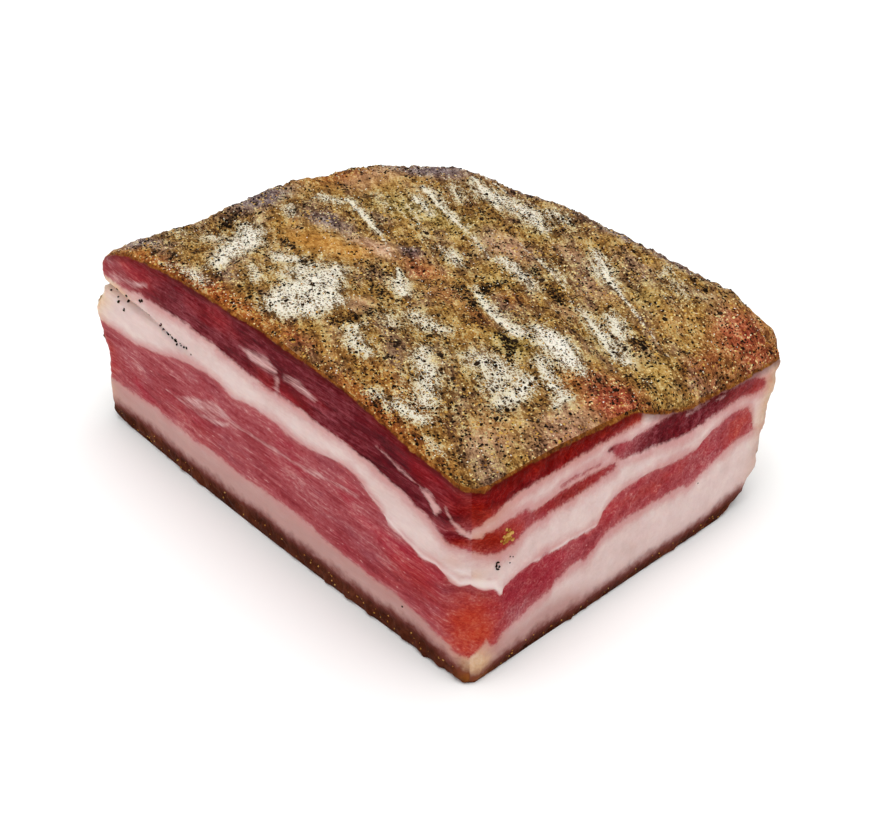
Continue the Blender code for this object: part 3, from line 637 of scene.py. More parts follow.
GRAIN_PATTERN = {"Detail": 2.0, "Roughness": 0.6}

# Colour ramps, as places and sRGB colours
CRUST_BROWNS = {
    "ochre": ((0.18, "#2E1B0C"), (0.36, "#5E3E1E"), (0.5, "#88622F"), (0.64, "#AB8446"), (0.84, "#D0B07A")),
    "dusk": ((0.18, "#33211A"), (0.36, "#5E4435"), (0.5, "#836450"), (0.64, "#A2846B"), (0.84, "#CBB096")),
}
CRUST_TINTS = {
    "olive": ((0.2, "#362A10"), (0.4, "#755E2A"), (0.55, "#A88C4A"), (0.8, "#D8C084")),
    "plum": ((0.2, "#2E2224"), (0.45, "#625050"), (0.6, "#897874"), (0.85, "#BFB0A8")),
    "blush": ((0.2, "#5E3A2A"), (0.45, "#A0785C"), (0.6, "#BE9678"), (0.85, "#E2C4A6")),
    "rust": ((0.2, "#401608"), (0.45, "#84421C"), (0.6, "#A8642E"), (0.85, "#D09A5A")),
    "gold": ((0.2, "#7A4C18"), (0.45, "#A87230"), (0.6, "#BE8C48"), (0.85, "#E0BC7C")),
    "red": ((0.2, "#4A160C"), (0.45, "#883A26"), (0.6, "#A8583C"), (0.85, "#D8986A")),
}
BLOOM_WHITES = {"white": ((0.1, "#B99E62"), (0.3, "#C8B688"), (0.55, "#D4CAB0"), (0.9, "#E8E2D4"))}
LEAN_COLOURS = {
    "lean": ((0.22, "#7A242B"), (0.42, "#933A40"), (0.56, "#A54F54"), (0.8, "#CA8C8A")),
    "crimson": ((0.22, "#781220"), (0.42, "#952130"), (0.56, "#A63341"), (0.8, "#C87070")),
    "mauve": ((0.22, "#702A36"), (0.42, "#88404A"), (0.56, "#99545B"), (0.8, "#BC8584")),
    "deep": ((0.25, "#38070E"), (0.5, "#60121B"), (0.8, "#984850")),
    "deep_crimson": ((0.25, "#4A040A"), (0.5, "#7A0E16"), (0.8, "#AC4044")),
    # Orange-red lean, with the painted glow of light shining through the corners
    "glow": ((0.25, "#902015"), (0.5, "#B63A26"), (0.8, "#CE6C4C")),
    "deep_glow": ((0.25, "#4E0200"), (0.5, "#760602"), (0.8, "#A6240E")),
    "veil": ((0.3, "#B9807F"), (0.7, "#D5ADA9")),
}
FAT_COLOURS = {
    "pearl": ((0.2, "#C9ABA4"), (0.5, "#DAC0BB"), (0.8, "#E8D6CF")),
    "wax": ((0.3, "#C2925C"), (0.5, "#D9B48C"), (0.7, "#EBDAC2")),
}
RIND_BROWNS = {"rind": ((0.25, "#200B05"), (0.5, "#4A2012"), (0.8, "#78402B"))}
CUT_EDGE_BROWNS = {"cut_edge": ((0.2, "#200F08"), (0.4, "#542C12"), (0.56, "#854C1C"), (0.8, "#C9954E"))}
DRIED_COLOURS = {
    "lean": ((0.2, "#3A221E"), (0.5, "#6B4035"), (0.8, "#987053")),
    "fat": ((0.2, "#765639"), (0.5, "#A58460"), (0.8, "#CDB18B")),
}

# What a tone, an edge, a roughness or a height follows: painted fields and patterns, each with its
# weight. Fields run from 0 to 1, fat, rind and crust in millimetres, and patterns from about -1 to 1.
CRUST_TONE = {"wide": 0.1, "mottle": 0.23, "dragged": 0.19, "sand": 0.2, "scratch": 0.14}
DUSK_EDGE = (-0.2, 0.8, 0.85)
TINT_EDGE = (0.05, 0.9, 1.0)
TINT_WEIGHT = 0.95
TINT_UNEVEN = 0.4
WHITE_START = 0.12
WHITE_TONE = {"bloom": 0.75, "sand": 0.12}
THICK = {
    "bloom": 0.58, "mottle": 0.27, "dragged": 0.34, "sand": 0.14, "scratch": 0.1,
    "red": -0.2, "plum": -0.15, "bare": -0.3,
}
SHADE = {"sand": 0.65, "scratch": 0.45, "mottle": 0.2}
PEPPERY = {"char": 0.42, "mottle": -0.12, "dragged": -0.08, "bare": -0.3}
CRUST_ROUGHNESS = (0.66, {"flour": 0.2, "gold": -0.16, "red": -0.2})
CRUST_BUMPS = {"mottle": 0.16, "sand": 0.12, "dragged": 0.08, "flour": 0.1, "pepper": 0.12}

# Coats, laid one over another. Each has a colour, the kind of its mask, the numbers for that, and what
# the mask follows. Spread: 0 up to the first number, and the third number from the second on. Grains
# and threads: their size in millimetres, and how many there are to start with.
CRUST_COATS = {
    "under_bloom": ("#6B5738", "spread", (0.1, 0.9, 0.55), {"bloom": 1.0, "mottle": 0.16}),
    # Painted shade and painted glints: the crust's fine noise drawn dark as shade in its pits and pale as
    # glints on its grains
    "pit_shade": ("#221307", "spread", (-0.32, -0.72, 0.85), {**SHADE, "bare": 0.45}),
    "glints": ("#E6D29C", "spread", (0.38, 0.74, 0.85), {**SHADE, "bare": -0.45}),
    "mustard": ("#C0964A", "grains", (1.0, 0.13), {"gold": 0.2, "red": -0.1, "mottle": 0.12, "bare": -0.3}),
    "pale_sand": ("#E2CC90", "grains", (0.75, 0.11), {"mottle": 0.16, "hue": 0.1, "bare": -0.3}),
    "fine_bloom": ("white", "threads", (0.75, -0.17), THICK),
    "flour": ("white", "threads", (1.3, -0.06), THICK),
    "drag_lines": ("#E4DCC6", "spread", (0.43, 0.54, 0.9), {"drag": 1.0, "sand": 0.1, "dragged": 0.07}),
    "clots": ("#2A2218", "spread", (0.2, 1.0, 0.45), {"char": 1.0, "mottle": 0.2}),
    "fine_pepper": ("#20140A", "grains", (0.7, 0.12), PEPPERY),
    # Ground pepper is 0.3 to 0.6 mm across, and is drawn up to 1 mm so that it shows
    "pepper": ("#140D07", "grains", (1.1, 0.14), PEPPERY),
}

MEAT_TONE = {"bundle": 0.15, "cloud": 0.12, "fibre": 0.13, "fleck": 0.1}
FAT_TONE = {"cloud": 0.12, "wander": 0.1, "fibre": 0.05, "fleck": 0.03}
RAGGED_FAT = {"fat": 1.0, "wander": 0.6, "fleck": 0.28, "fibre": 0.1}
DEEP_COATS = {
    "crimson_depths": ("deep_crimson", "spread", (0.0, 0.9, 0.9), {"hue": 0.8, "crimson": 0.8}),
    # Deep lean drawn orange under the glow field: its orange parts, and a painted glow of light through the
    # corners
    "glowing_depths": ("deep_glow", "spread", (0.0, 1.0, 1.0), {"glow": 1.0, "wander": 0.16}),
}
LEAN_COATS = {
    "pink_edge": ("#B56264", "spread", (-2.6, -0.3, 0.35), {"ragged": 1.0}),
    "crimson_parts": ("crimson", "spread", (0.1, 0.9, 0.8), {"hue": 0.8, "crimson": 0.8}),
    "mauve_parts": ("mauve", "spread", (-0.05, -0.9, 0.55), {"hue": 1.0}),
    "pale_fibres": ("#CF9C99", "spread", (0.45, 1.0, 0.45), {"fibre": 0.7, "bundle": 0.5}),
    "pale_flecks": ("#D9A9A2", "spread", (0.62, 0.95, 0.5), {"fleck": 0.8, "fibre": 0.4}),
    # Orange-red lean under the glow field, with a painted glow of light shining through the corners
    "glowing": ("glow", "spread", (0.0, 1.0, 1.0), {"glow": 1.0, "wander": 0.16}),
    "depths": ("deep", "spread", (0.0, 0.62, 1.0), {"deep": 1.0, "bundle": 0.14, "cloud": 0.08}),
    "veils": (
        "veil", "spread", (0.22, 0.85, 1.0), {"veil": 1.0, "wander": 0.16, "fibre": 0.14, "bundle": 0.12},
    ),
}
FAT_COATS = {
    "pink_rim": ("#C07A79", "spread", (4.4, 0.3, 0.66), {"ragged": 1.0, "cloud": 0.8}),
    # Fat turns mauve from 7 mm above the rind, and 9 mm sooner where mauve is 1
    "mauve_foot": ("#B2837C", "spread", (-7.0, 0.0, 0.8), {"rind": 1.0, "wander": 1.1, "mauve": 9.0}),
    # Fat drawn warm orange under the glow field: partly a painted glow of light shining through the corners
    "glowing_fat": ("#C58662", "spread", (0.0, 1.0, 0.5), {"glow": 1.0}),
    "waxed": ("wax", "spread", (0.0, 1.0, 0.85), {"wax": 1.0, "wander": 0.15}),
    # Painted highlights: white where the veil field lies on the fat, along its lower edges and on the lip
    # at the near corner
    "white_highlights": ("#F4EBE6", "spread", (0.1, 0.9, 0.6), {"veil": 1.0, "wander": 0.1}),
}
MEAT_COATS = {"in_fat": ("fat", "spread", (-0.6, 0.75, 1.0), {"ragged": 1.0})}
MEAT_ROUGHNESS = (0.42, {"in_fat": 0.06, "fibre": 0.04, "glow": -0.1})
MEAT_BUMPS = {"fibre": 0.04, "bundle": 0.07, "wander": 0.04, "fleck": 0.02, "in_fat": 0.12}

RIND_TONE = {"blotch": 0.16, "pores": 0.1}
RIND_ROUGHNESS = (0.5, {"pores": 0.06})
RIND_BUMPS = {"pores": 0.1, "blotch": 0.12}
WAXED_RIND_COATS = {"waxed_rind": ("#9A5A22", "spread", (0.0, 1.0, 0.8), {"wax": 1.0})}

CUT_EDGE_TONE = {"crumb": 0.17, "ragged": 0.12}
CUT_COATS = {
    "drying": ("#8A5E3C", "spread", (0.0, 1.0, 0.6), {"dry": 1.0, "ragged": 0.15}),
    "dark_rim": ("#4A0D06", "spread", (-2.4, -0.1, 0.6), {"crust": 1.0, "ragged": 0.4}),
    "dark_foot": ("#6B2C26", "spread", (-4.5, -0.3, 0.94), {"rind": 1.0, "ragged": 1.1}),
    "in_rind": ("rind", "spread", (-1.8, 1.4, 1.0), {"rind": 1.0, "ragged": 0.9}),
    "on_edge": ("cut_edge", "spread", (-0.25, 0.3, 1.0), {"crust": 1.0, "ragged": 0.3}),
    "on_crust": ("crust", "spread", (0.7, 1.7, 1.0), {"crust": 1.0, "ragged": 0.4}),
}

DRIED_TONE = {"ragged": 0.16, "blotch": 0.14, "crumb": 0.12, "wide": 0.08}
DRIED_COATS = {
    "fatty": ("fat", "spread", (-3.2, 3.2, 0.8), {"fat": 1.0, "ragged": 2.4, "blotch": 3.0}),
    "dusky": ("#6A4A46", "spread", (-0.1, 0.9, 0.6), {"blotch": 1.0}),
    "tanned": ("#9A7048", "spread", (0.1, 1.0, 0.55), {"wide": 1.0, "ragged": 0.3}),
    "in_rind": ("rind", "spread", (-3.0, 1.6, 1.0), {"rind": 1.0, "ragged": 1.2, "blotch": 1.0}),
    "dark_grains": ("#4E3822", "grains", (1.1, 0.2), {"wide": 0.2, "ragged": 0.14}),
    "pale_grains": ("#C6A870", "grains", (0.8, 0.08), {"wide": 0.16, "ragged": 0.1}),
    "under_rub": (
        "crust", "spread", (-16.0, 1.0, 1.0), {"crust": 1.0, "ragged": 5.0, "wide": 6.0, "blotch": 4.0},
    ),
}

# Loose grains: colour ramp, size of its shifts in millimetres, roughness, and light under the surface
SPICES = {
    # Peppercorns ground coarse: black to dark brown, dull
    "ground_pepper": (((0.35, "#0E0A07"), (0.6, "#241A12"), (0.8, "#4A3A2A")), 0.9, 0.7, 0),
    # Peppercorn husk: dark brown flakes with paler broken edges
    "cracked_pepper": (((0.35, "#140E08"), (0.6, "#302216"), (0.85, "#6B5636")), 1.2, 0.65, 0),
    # Salt crystals and dried garlic: off-white, slightly see-through
    "salt_and_garlic_grains": (((0.3, "#D8C79C"), (0.6, "#EFE9DB")), 1.5, 0.35, 0.2),
    # Coriander and mustard broken in a mortar: tan and yellow
    "coriander_grains": (((0.3, "#7A4A1C"), (0.5, "#B07A34"), (0.72, "#DDB46A")), 1.5, 0.5, 0.1),
}

# ---------------------------------------------------------------- camera, light and floor

VIEW_FROM_CORNER = (191.8, -184.3, 269.0)
VIEW_AZIMUTH = 47.3235
VIEW_ELEVATION = 35.4957
LENS = 65.0
SENSOR = 36.0
SKY_STRENGTH = 0.62
SKY_WHITE = "#FFFFFF"
SWEEP_WHITE = "#F9F9F8"
SWEEP_SIZE = 4.0
SWEEP_ROUGHNESS = 0.95
# Each soft box: its name, size, place and power, in metres and watts
LIGHTS = (
    ("top_box", 2.0, (0.1, 0.15, 1.8), 31.0),
    ("left_box", 0.6, (-0.5, -0.9, 0.5), 1.2),
)
# All of them face the middle of the slab
LIGHT_AIM = (0, 0, 0.03)


def linear(hex_colour):
    """An sRGB hex colour as linear red, green, blue and alpha."""
    channels = [int(hex_colour[i : i + 2], 16) / 255 for i in (1, 3, 5)]
    return tuple(c / 12.92 if c <= 0.04045 else ((c + 0.055) / 1.055) ** 2.4 for c in channels) + (1.0,)


def curve_through(stations, places):
    """Heights on a smooth curve that passes through the stations without overshooting them."""
    stops, heights = np.array(stations, float).T
    grades = np.diff(heights) / np.diff(stops)
    product = grades[1:] * grades[:-1]
    between = 2 * product / np.where(product > 0, grades[1:] + grades[:-1], 1)
    slopes = np.array([grades[0], *np.maximum(product > 0, 0) * between, grades[-1]])
    step = np.clip(np.searchsorted(stops, places) - 1, 0, len(stops) - 2)
    span = stops[step + 1] - stops[step]
    t = np.clip((places - stops[step]) / span, 0, 1)
    rise = heights[step + 1] - heights[step]
    bend = slopes[step] * t * (1 - t) ** 2 - slopes[step + 1] * t**2 * (1 - t)
    return heights[step] + rise * t * t * (3 - 2 * t) + bend * span


def over_slab(side_lines, along, across):
    """A surface's height at any place in plan, drawn from its side lines, the nearest most."""
    gaps = {"front": across, "back": WIDTH - across, "short": along, "left": LENGTH - along}
    total = 0
    weights = 0
    for side, line in side_lines.items():
        place = along if side in ("front", "back") else across
        weight = 1 / (np.abs(gaps[side]) + NEAREST_GAP) ** 2
        total = total + weight * curve_through(line, place)
        weights = weights + weight
    return total / weights


def waves(along, across, height, coarsest, seed):
    """A seeded sum of waves, about -1 to 1, for surfaces that are nowhere quite flat."""
    draw = random.Random(seed)
    total = 0
    for _ in range(WAVE_COUNT):
        turn = draw.uniform(0, 2 * math.pi)
        pitch = 2 * math.pi / (coarsest * draw.uniform(*WAVE_SPREAD))
        phase = draw.uniform(0, 2 * math.pi)
        run = along * math.cos(turn) + across * math.sin(turn) + height * math.sin(turn + 1)
        total = total + np.sin(run * pitch + phase)
    return total / math.sqrt(2 * WAVE_COUNT)


def crust_relief(along, across):
    """Humps, hollows and creases of the crust."""
    relief = CRUST_WAVE * waves(along, across, 0, CRUST_WAVE_LENGTH, CRUST_WAVE_SEED)
    for hump_along, hump_across, radius, height in HUMPS:
        far = ((along - hump_along) ** 2 + (across - hump_across) ** 2) / radius**2
        relief = relief + height * np.exp(-far)
    for start_along, start_across, end_along, end_across, depth in CREASES:
        run_along = end_along - start_along
        run_across = end_across - start_across
        share = (along - start_along) * run_along + (across - start_across) * run_across
        share = np.clip(share / (run_along**2 + run_across**2), 0, 1)
        off_along = along - start_along - share * run_along
        off_across = across - start_across - share * run_across
        press = np.exp(-(off_along**2 + off_across**2) / CREASE_HALF**2)
        relief = relief - depth * press * np.sin(math.pi * share)
    return relief


def level_lines(along, across):
    """Heights of the lines up the wall, from the ground to the crust's rim."""
    lean_top = over_slab(MAIN_LEAN_TOP, along, across)
    fat_top = over_slab(MAIN_FAT_TOP, along, across)
    edge = over_slab(CRUST_EDGE, along, across)
    roll = over_slab(CRUST_TOP, along, across) - edge
    # The split fades into a rest line inside the fat, away from the flap.
    rest = lean_top + SPLIT_REST * (fat_top - lean_top)
    split = curve_through([(place, height) for place, height, _ in SPLIT], along)
    nearness = np.clip(1 - across / SPLIT_REACH, 0, 1)
    nearness = nearness * np.clip((along - SPLIT[0][0]) / SPLIT_FADE, 0, 1)
    split = rest + nearness * (split - rest)
    split = np.clip(split, lean_top + SPLIT_CLEAR[0], fat_top - SPLIT_CLEAR[1])
    ground = np.zeros_like(along)
    return np.array(
        (
            ground,
            ground + HEEL_HEIGHT,
            ground + RIND_HEIGHT,
            over_slab(MAIN_LEAN_FLOOR, along, across),
            lean_top,
            split - SPLIT_HALF,
            split + SPLIT_HALF,
            fat_top,
            edge,
            edge + roll * ROLL_SHARE,
        )
    )


def split_depth(along, across, height, lines):
    """How deep the split under the flap cuts in at a place on the wall."""
    middle = (lines[SPLIT_LOW] + lines[SPLIT_HIGH]) / 2
    depth = curve_through([(place, depth) for place, _, depth in SPLIT], along)
    fade = np.clip(1 - across / SPLIT_REACH, 0, 1)
    return depth * fade * np.clip(SPLIT_MOUTH - np.abs(height - middle) / SPLIT_HALF, 0, 1)


def round_corner(along, across, corner_along, corner_across, radius, facet):
    """Turns a square corner of the plan into an arc, or part way to a flat facet."""
    inward_along = -1 if np.mean(corner_along) > LENGTH / 2 else 1
    inward_across = -1 if np.mean(corner_across) > WIDTH / 2 else 1
    a = 1 - (along - corner_along) * inward_along / radius
    b = 1 - (across - corner_across) * inward_across / radius
    inside = (a > 0) & (b > 0)
    reach = np.where(inside, np.maximum(a, b), 1)
    turn = np.where(a >= b, 1 - b / reach / 2, a / reach / 2)
    angle = turn * math.pi / 2
    round_a = reach * ((1 - facet) * np.sin(angle) + facet * turn)
    round_b = reach * ((1 - facet) * np.cos(angle) + facet * (1 - turn))
    round_along = corner_along + (1 - round_a) * radius * inward_along
    round_across = corner_across + (1 - round_b) * radius * inward_across
    return np.where(inside, round_along, along), np.where(inside, round_across, across)


def slab_skin(u, v, level):
    """Places on the slab's skin, for shares u and v of its length and width and a level line."""
    along = u * LENGTH
    across = v * WIDTH
    lines = level_lines(along, across)
    lower = np.clip(np.floor(level).astype(int), 0, RIM - 1)
    share = level - lower
    column = np.arange(len(u))
    height = lines[lower, column] * (1 - share) + lines[lower + 1, column] * share

    # The crust rolls over its edge on a quarter round, of which the wall takes the first half.
    radius = (lines[RIM] - lines[CRUST_LINE]) / ROLL_SHARE
    climb = np.clip((height - lines[CRUST_LINE]) / radius, 0, ROLL_SHARE)
    tuck = radius * (1 - np.sqrt(1 - climb**2))

    wall = (level > GROUND) & (level < RIM)
    grown = np.clip(np.minimum(along, across) / GROWN_MARGIN, 0, 1)
    swell = np.clip((height - lines[LEAN_TOP]) / (lines[FAT_TOP] - lines[LEAN_TOP]), 0, 1)
    wave = waves(along, across, height, SIDE_WAVE_LENGTH, SIDE_WAVE_SEED)
    out = (CUT_WAVE + (GROWN_WAVE - CUT_WAVE) * grown) * wave
    out = np.where(wall, out + FAT_SWELL * np.sin(math.pi * swell), 0)
    cleft = np.where(wall, split_depth(along, across, height, lines), 0)
    bow = FACE_BOW * np.sin(math.pi * u) * np.clip(1 - height / BOW_TOP, 0, 1)

    front = -curve_through(CUT_PROFILE, height) - bow - out + cleft
    back = curve_through(BACK_LINE, along) + curve_through(BACK_PROFILE, height) + out
    near = -curve_through(CUT_PROFILE, height) - out
    left = curve_through(LEFT_LINE, across) + curve_through(LEFT_PROFILE, height)
    left = left + out - cleft
    skin_along = near + tuck + u * (left - near - 2 * tuck)
    skin_across = front + tuck + v * (back - front - 2 * tuck)
    gaps = {
        "front": skin_across - front,
        "back": back - skin_across,
        "short": skin_along - near,
        "left": left - skin_along,
    }

    corners = (
        (near + tuck, front + tuck, NEAR_CORNER, NEAR_FACET),
        (left - tuck, front + tuck, LEFT_CORNER, 0),
        (near + tuck, back - tuck, FAR_CORNER, 0),
        (left - tuck, back - tuck, BACK_CORNER, 0),
    )
    for corner_along, corner_across, radii, facet in corners:
        size = curve_through(radii, height)
        skin_along, skin_across = round_corner(
            skin_along, skin_across, corner_along, corner_across, size, facet
        )

    # The top takes the second half of the quarter round, and then the crust's own relief.
    drop = 0
    for side, gap in gaps.items():
        place = along if side in ("front", "back") else across
        round_off = curve_through(CRUST_TOP[side], place) - curve_through(CRUST_EDGE[side], place)
        short_of = np.clip(round_off - gap, 0, round_off)
        drop = np.maximum(drop, round_off - np.sqrt(round_off**2 - short_of**2))
    calm = np.clip(np.minimum.reduce(list(gaps.values())) / CALM_MARGIN, 0, 1)
    crown = over_slab(CRUST_TOP, along, across) - drop
    crown = crown + crust_relief(skin_along, skin_across) * calm * (2 - calm)
    inner = (np.minimum(u, v) > 0) & (np.maximum(u, v) < 1)
    height = np.where((level == RIM) & inner, crown, height)
    return skin_along, skin_across, height


def to_frame(along, across, height):
    """Places in the model's frame, in metres, as rows of x, y and z."""
    x = NODE_HIGH.x - (CORNER_INSET[0] + along) * MM
    y = NODE_LOW.y + (CORNER_INSET[1] + across) * MM
    return np.stack([x, y, np.asarray(height) * MM], axis=-1)


def stroke_gap(stroke, places, heights):
    """Distance from a tapering brush stroke's outline, negative inside it."""
    nearest = np.full(np.shape(places), np.inf)
    for (place, height, half), (next_place, next_height, next_half) in zip(stroke, stroke[1:]):
        run = next_place - place
        rise = next_height - height
        share = ((places - place) * run + (heights - height) * rise) / (run**2 + rise**2)
        share = np.clip(share, 0, 1)
        gap = np.hypot(places - place - share * run, heights - height - share * rise)
        nearest = np.minimum(nearest, gap - half - share * (next_half - half))
    return nearest


def strokes_field(strokes, places, heights, softness):
    """The strongest of some strokes: full strength inside, none at softness outside."""
    field = np.zeros(np.shape(places))
    for strength, stroke in strokes:
        gap = stroke_gap(stroke, places, heights)
        field = np.maximum(field, strength * np.clip(0.5 - gap / softness / 2, 0, 1))
    return field


def ovals_field(ovals, places, heights):
    """The strongest of some soft ovals."""
    field = np.zeros(np.shape(places))
    for place, height, half_length, half_height, strength in ovals:
        far = ((places - place) / half_length) ** 2 + ((heights - height) / half_height) ** 2
        field = np.maximum(field, strength * np.exp(-far))
    return field


def ease(low, high, values):
    """0 below low, 1 above high, and a smooth step between."""
    t = np.clip((values - low) / (high - low), 0, 1)
    return t * t * (3 - 2 * t)


def eased(places, low, high, start, gain):
    """A field that eases from start to start + gain, between two places."""
    return start + gain * ease(low, high, places)


def front_paint(along, height, rim):
    """What the long cut face is painted with: its fat, veils of fat and painted highlights, deep
    lean, and orange lean with its painted glow.
    """
    lean_top = curve_through(PAINT_LEAN_TOP, along)
    fat_top = curve_through(PAINT_FAT_TOP, along)
    floor = curve_through(PAINT_LEAN_FLOOR, along)
    fat = np.maximum(floor - height, np.minimum(height - lean_top, fat_top - height))
    for stroke in FRONT_FAT_STROKES:
        fat = np.maximum(fat, -stroke_gap(stroke, along, height))
    veil = strokes_field(FRONT_VEILS_AND_HIGHLIGHTS, along, height, VEIL_AND_HIGHLIGHT_SOFTNESS)
    for stroke in FRONT_LEAN_BLOBS:
        gap = stroke_gap(stroke, along, height)
        fat = np.minimum(fat, gap)
        veil = veil * ease(-BLOB_EDGE, BLOB_EDGE, gap)
    return {
        "fat": fat,
        "veil": veil,
        "rind": curve_through(PAINT_RIND_TOP, along) - height,
        "crust": height - rim + FRONT_LAP,
        "dry": eased(along, *FRONT_DRY),
        "mauve": eased(along, *FRONT_MAUVE),
        **{name: ovals_field(ovals, along, height) for name, ovals in FRONT_OVALS.items()},
    }


def short_paint(across, height, rim):
    """What the short cut face is painted with."""
    lean_top = curve_through(SHORT_LEAN_TOP, across)
    top_lean = curve_through(SHORT_TOP_LEAN_FLOOR, across)
    floor = curve_through(SHORT_LEAN_FLOOR, across)
    fat = np.maximum(floor - height, np.minimum(height - lean_top, top_lean - height))
    for stroke in SHORT_LEAN_STROKES:
        fat = np.minimum(fat, stroke_gap(stroke, across, height))
    crust_line = np.minimum(curve_through(SHORT_CRUST_LINE, across), rim - SHORT_LAP)
    return {
        "fat": fat,
        "veil": strokes_field(SHORT_VEILS_AND_HIGHLIGHTS, across, height, VEIL_AND_HIGHLIGHT_SOFTNESS),
        "rind": curve_through(SHORT_RIND_TOP, across) - height,
        "crust": height - crust_line,
        "dry": eased(across, *SHORT_DRY),
        "mauve": eased(across, *SHORT_MAUVE),
        **{name: ovals_field(ovals, across, height) for name, ovals in SHORT_OVALS.items()},
    }


def grown_paint(place, height, lines, rind_line):
    """What the two uncut sides are painted with: dried layers under a dusting of spice."""
    lean = np.minimum(height - lines[LEAN_FLOOR], lines[LEAN_TOP] - height)
    top_lean = np.minimum(height - lines[FAT_TOP], lines[CRUST_LINE] - height)
    return {
        "fat": -np.maximum(lean, top_lean),
        "rind": curve_through(rind_line, place) - height,
        "crust": height - lines[CRUST_LINE] + GROWN_LAP,
        **GROWN_PAINT,
    }


def paint_fields(u, v, height):
    """Every painted field at each point of the slab's skin, by attribute name."""
    along = u * LENGTH
    across = v * WIDTH
    lines = level_lines(along, across)
    fields = {name: np.zeros(len(u)) for name in MEAT_PAINTS}
    fields["rind"] -= height
    fields["crust"] += TOP_CRUST
    sides = (
        (u == 1, lambda m: grown_paint(across[m], height[m], lines[:, m], LEFT_RIND_TOP)),
        (v == 1, lambda m: grown_paint(along[m], height[m], lines[:, m], BACK_RIND_TOP)),
        (u == 0, lambda m: short_paint(across[m], height[m], lines[RIM, m])),
        (v == 0, lambda m: front_paint(along[m], height[m], lines[RIM, m])),
    )
    for on_side, paint in sides:
        for name, values in paint(on_side).items():
            fields[name][on_side] = values
    bloom = strokes_field(BLOOM, along, across, BLOOM_SOFTNESS)
    flour = ovals_field(FLOUR, along, across)
    fields["bloom"] = np.clip(1 - (1 - bloom) * (1 - flour), 0, 1)
    fields["char"] = strokes_field(CHAR, along, across, CHAR_SOFTNESS)
    fields["drag"] = strokes_field(DRAGS, along, across, DRAG_SOFTNESS)
    for name, ovals in TINTS.items():
        fields[name] = ovals_field(ovals, along, across)
    return fields


def noise_at(points, size, seed):
    """Seeded noise about -1 to 1 at rows of points, for bumps of about the given size."""
    draw = random.Random(seed)
    total = np.zeros(len(points))
    bend, bend_pitch = NOISE_BEND
    for _ in range(NOISE_WAVES):
        axis = np.array([draw.gauss(0, 1) for _ in range(3)])
        axis = axis / np.linalg.norm(axis)
        other = np.array([draw.gauss(0, 1) for _ in range(3)])
        other = other / np.linalg.norm(other)
        phase = draw.uniform(0, NOISE_TURN)
        swerve = bend * np.sin(points @ other * (bend_pitch / size) + draw.uniform(0, NOISE_TURN))
        total = total + np.sin(points @ axis * (draw.uniform(*NOISE_PITCH) / size) + swerve + phase)
    return total / math.sqrt(NOISE_WAVES / 2)


def fine_relief(points, fields, level):
    """How far each point stands out from the plain skin, in millimetres."""
    rough = {}
    for name, (height, size, seed) in RELIEF.items():
        stretch = FIBRE_STRETCH if name == "fibres" else (1, 1, 1)
        rough[name] = height * noise_at(points * stretch, size, seed)
    on_crust = ease(*CRUST_EDGE_EASE, fields["crust"])
    cut = (1 - on_crust) * (1 - fields["dry"]) * ease(*RIND_EASE, -fields["rind"])
    fat = ease(*FAT_EASE, fields["fat"])
    meat = FAT_STEP * fat + (1 - fat) * rough["fibres"] + rough["meat"]
    crumbs = rough["crumbs"] + rough["swells"] + BLOOM_STEP * fields["bloom"] + CHAR_STEP * fields["char"]
    crumbs = crumbs * (1 - BARE_CALM * fields["bare"])
    relief = cut * meat + on_crust * crumbs
    relief = relief + (1 - on_crust) * fields["dry"] * (rough["grown"] + rough["wrinkles"])
    relief = relief + ease(*RIND_EASE, fields["rind"]) * rough["rind"]

    near = np.exp(-((points[:, 0] / LEDGE_REACH) ** 2) - (points[:, 1] / LEDGE_REACH) ** 2)
    groove_place, groove_depth = LEDGE_GROOVE
    lip = np.exp(-(((fields["fat"] - LEDGE_LIP) / LEDGE_LIP) ** 2))
    groove = groove_depth * np.exp(-(((fields["fat"] + groove_place) / groove_place) ** 2))
    low_edge = ease(*LEDGE_FOOT, points[:, 2]) * ease(*LEDGE_HEAD, points[:, 2])
    relief = relief + LEDGE_STEP * (lip - groove) * near * low_edge
    return np.where(level > GROUND, relief, 0)


def add_object(name, data):
    """A new object in the scene."""
    made = bpy.data.objects.new(name, data)
    bpy.context.scene.collection.objects.link(made)
    return made


def cut_cube_into_cells(mesh, cells):
    """Cuts the unit cube into even cells, one direction at a time."""
    for axis, count in enumerate(cells):
        edges = []
        for edge in mesh.edges:
            run = edge.verts[1].co - edge.verts[0].co
            if abs(run[axis]) > 0.5 * run.length:
                edges.append(edge)
        bmesh.ops.subdivide_edges(mesh, edges=edges, cuts=count - 1, use_grid_fill=True)


def hold_in_box(data):
    """Keeps a mesh inside the solid's own box."""
    points = np.empty(3 * len(data.vertices), np.float32)
    data.vertices.foreach_get("co", points)
    held = points.reshape(-1, 3).clip(np.array(NODE_LOW, np.float32), np.array(NODE_HIGH, np.float32))
    data.vertices.foreach_set("co", held.ravel())


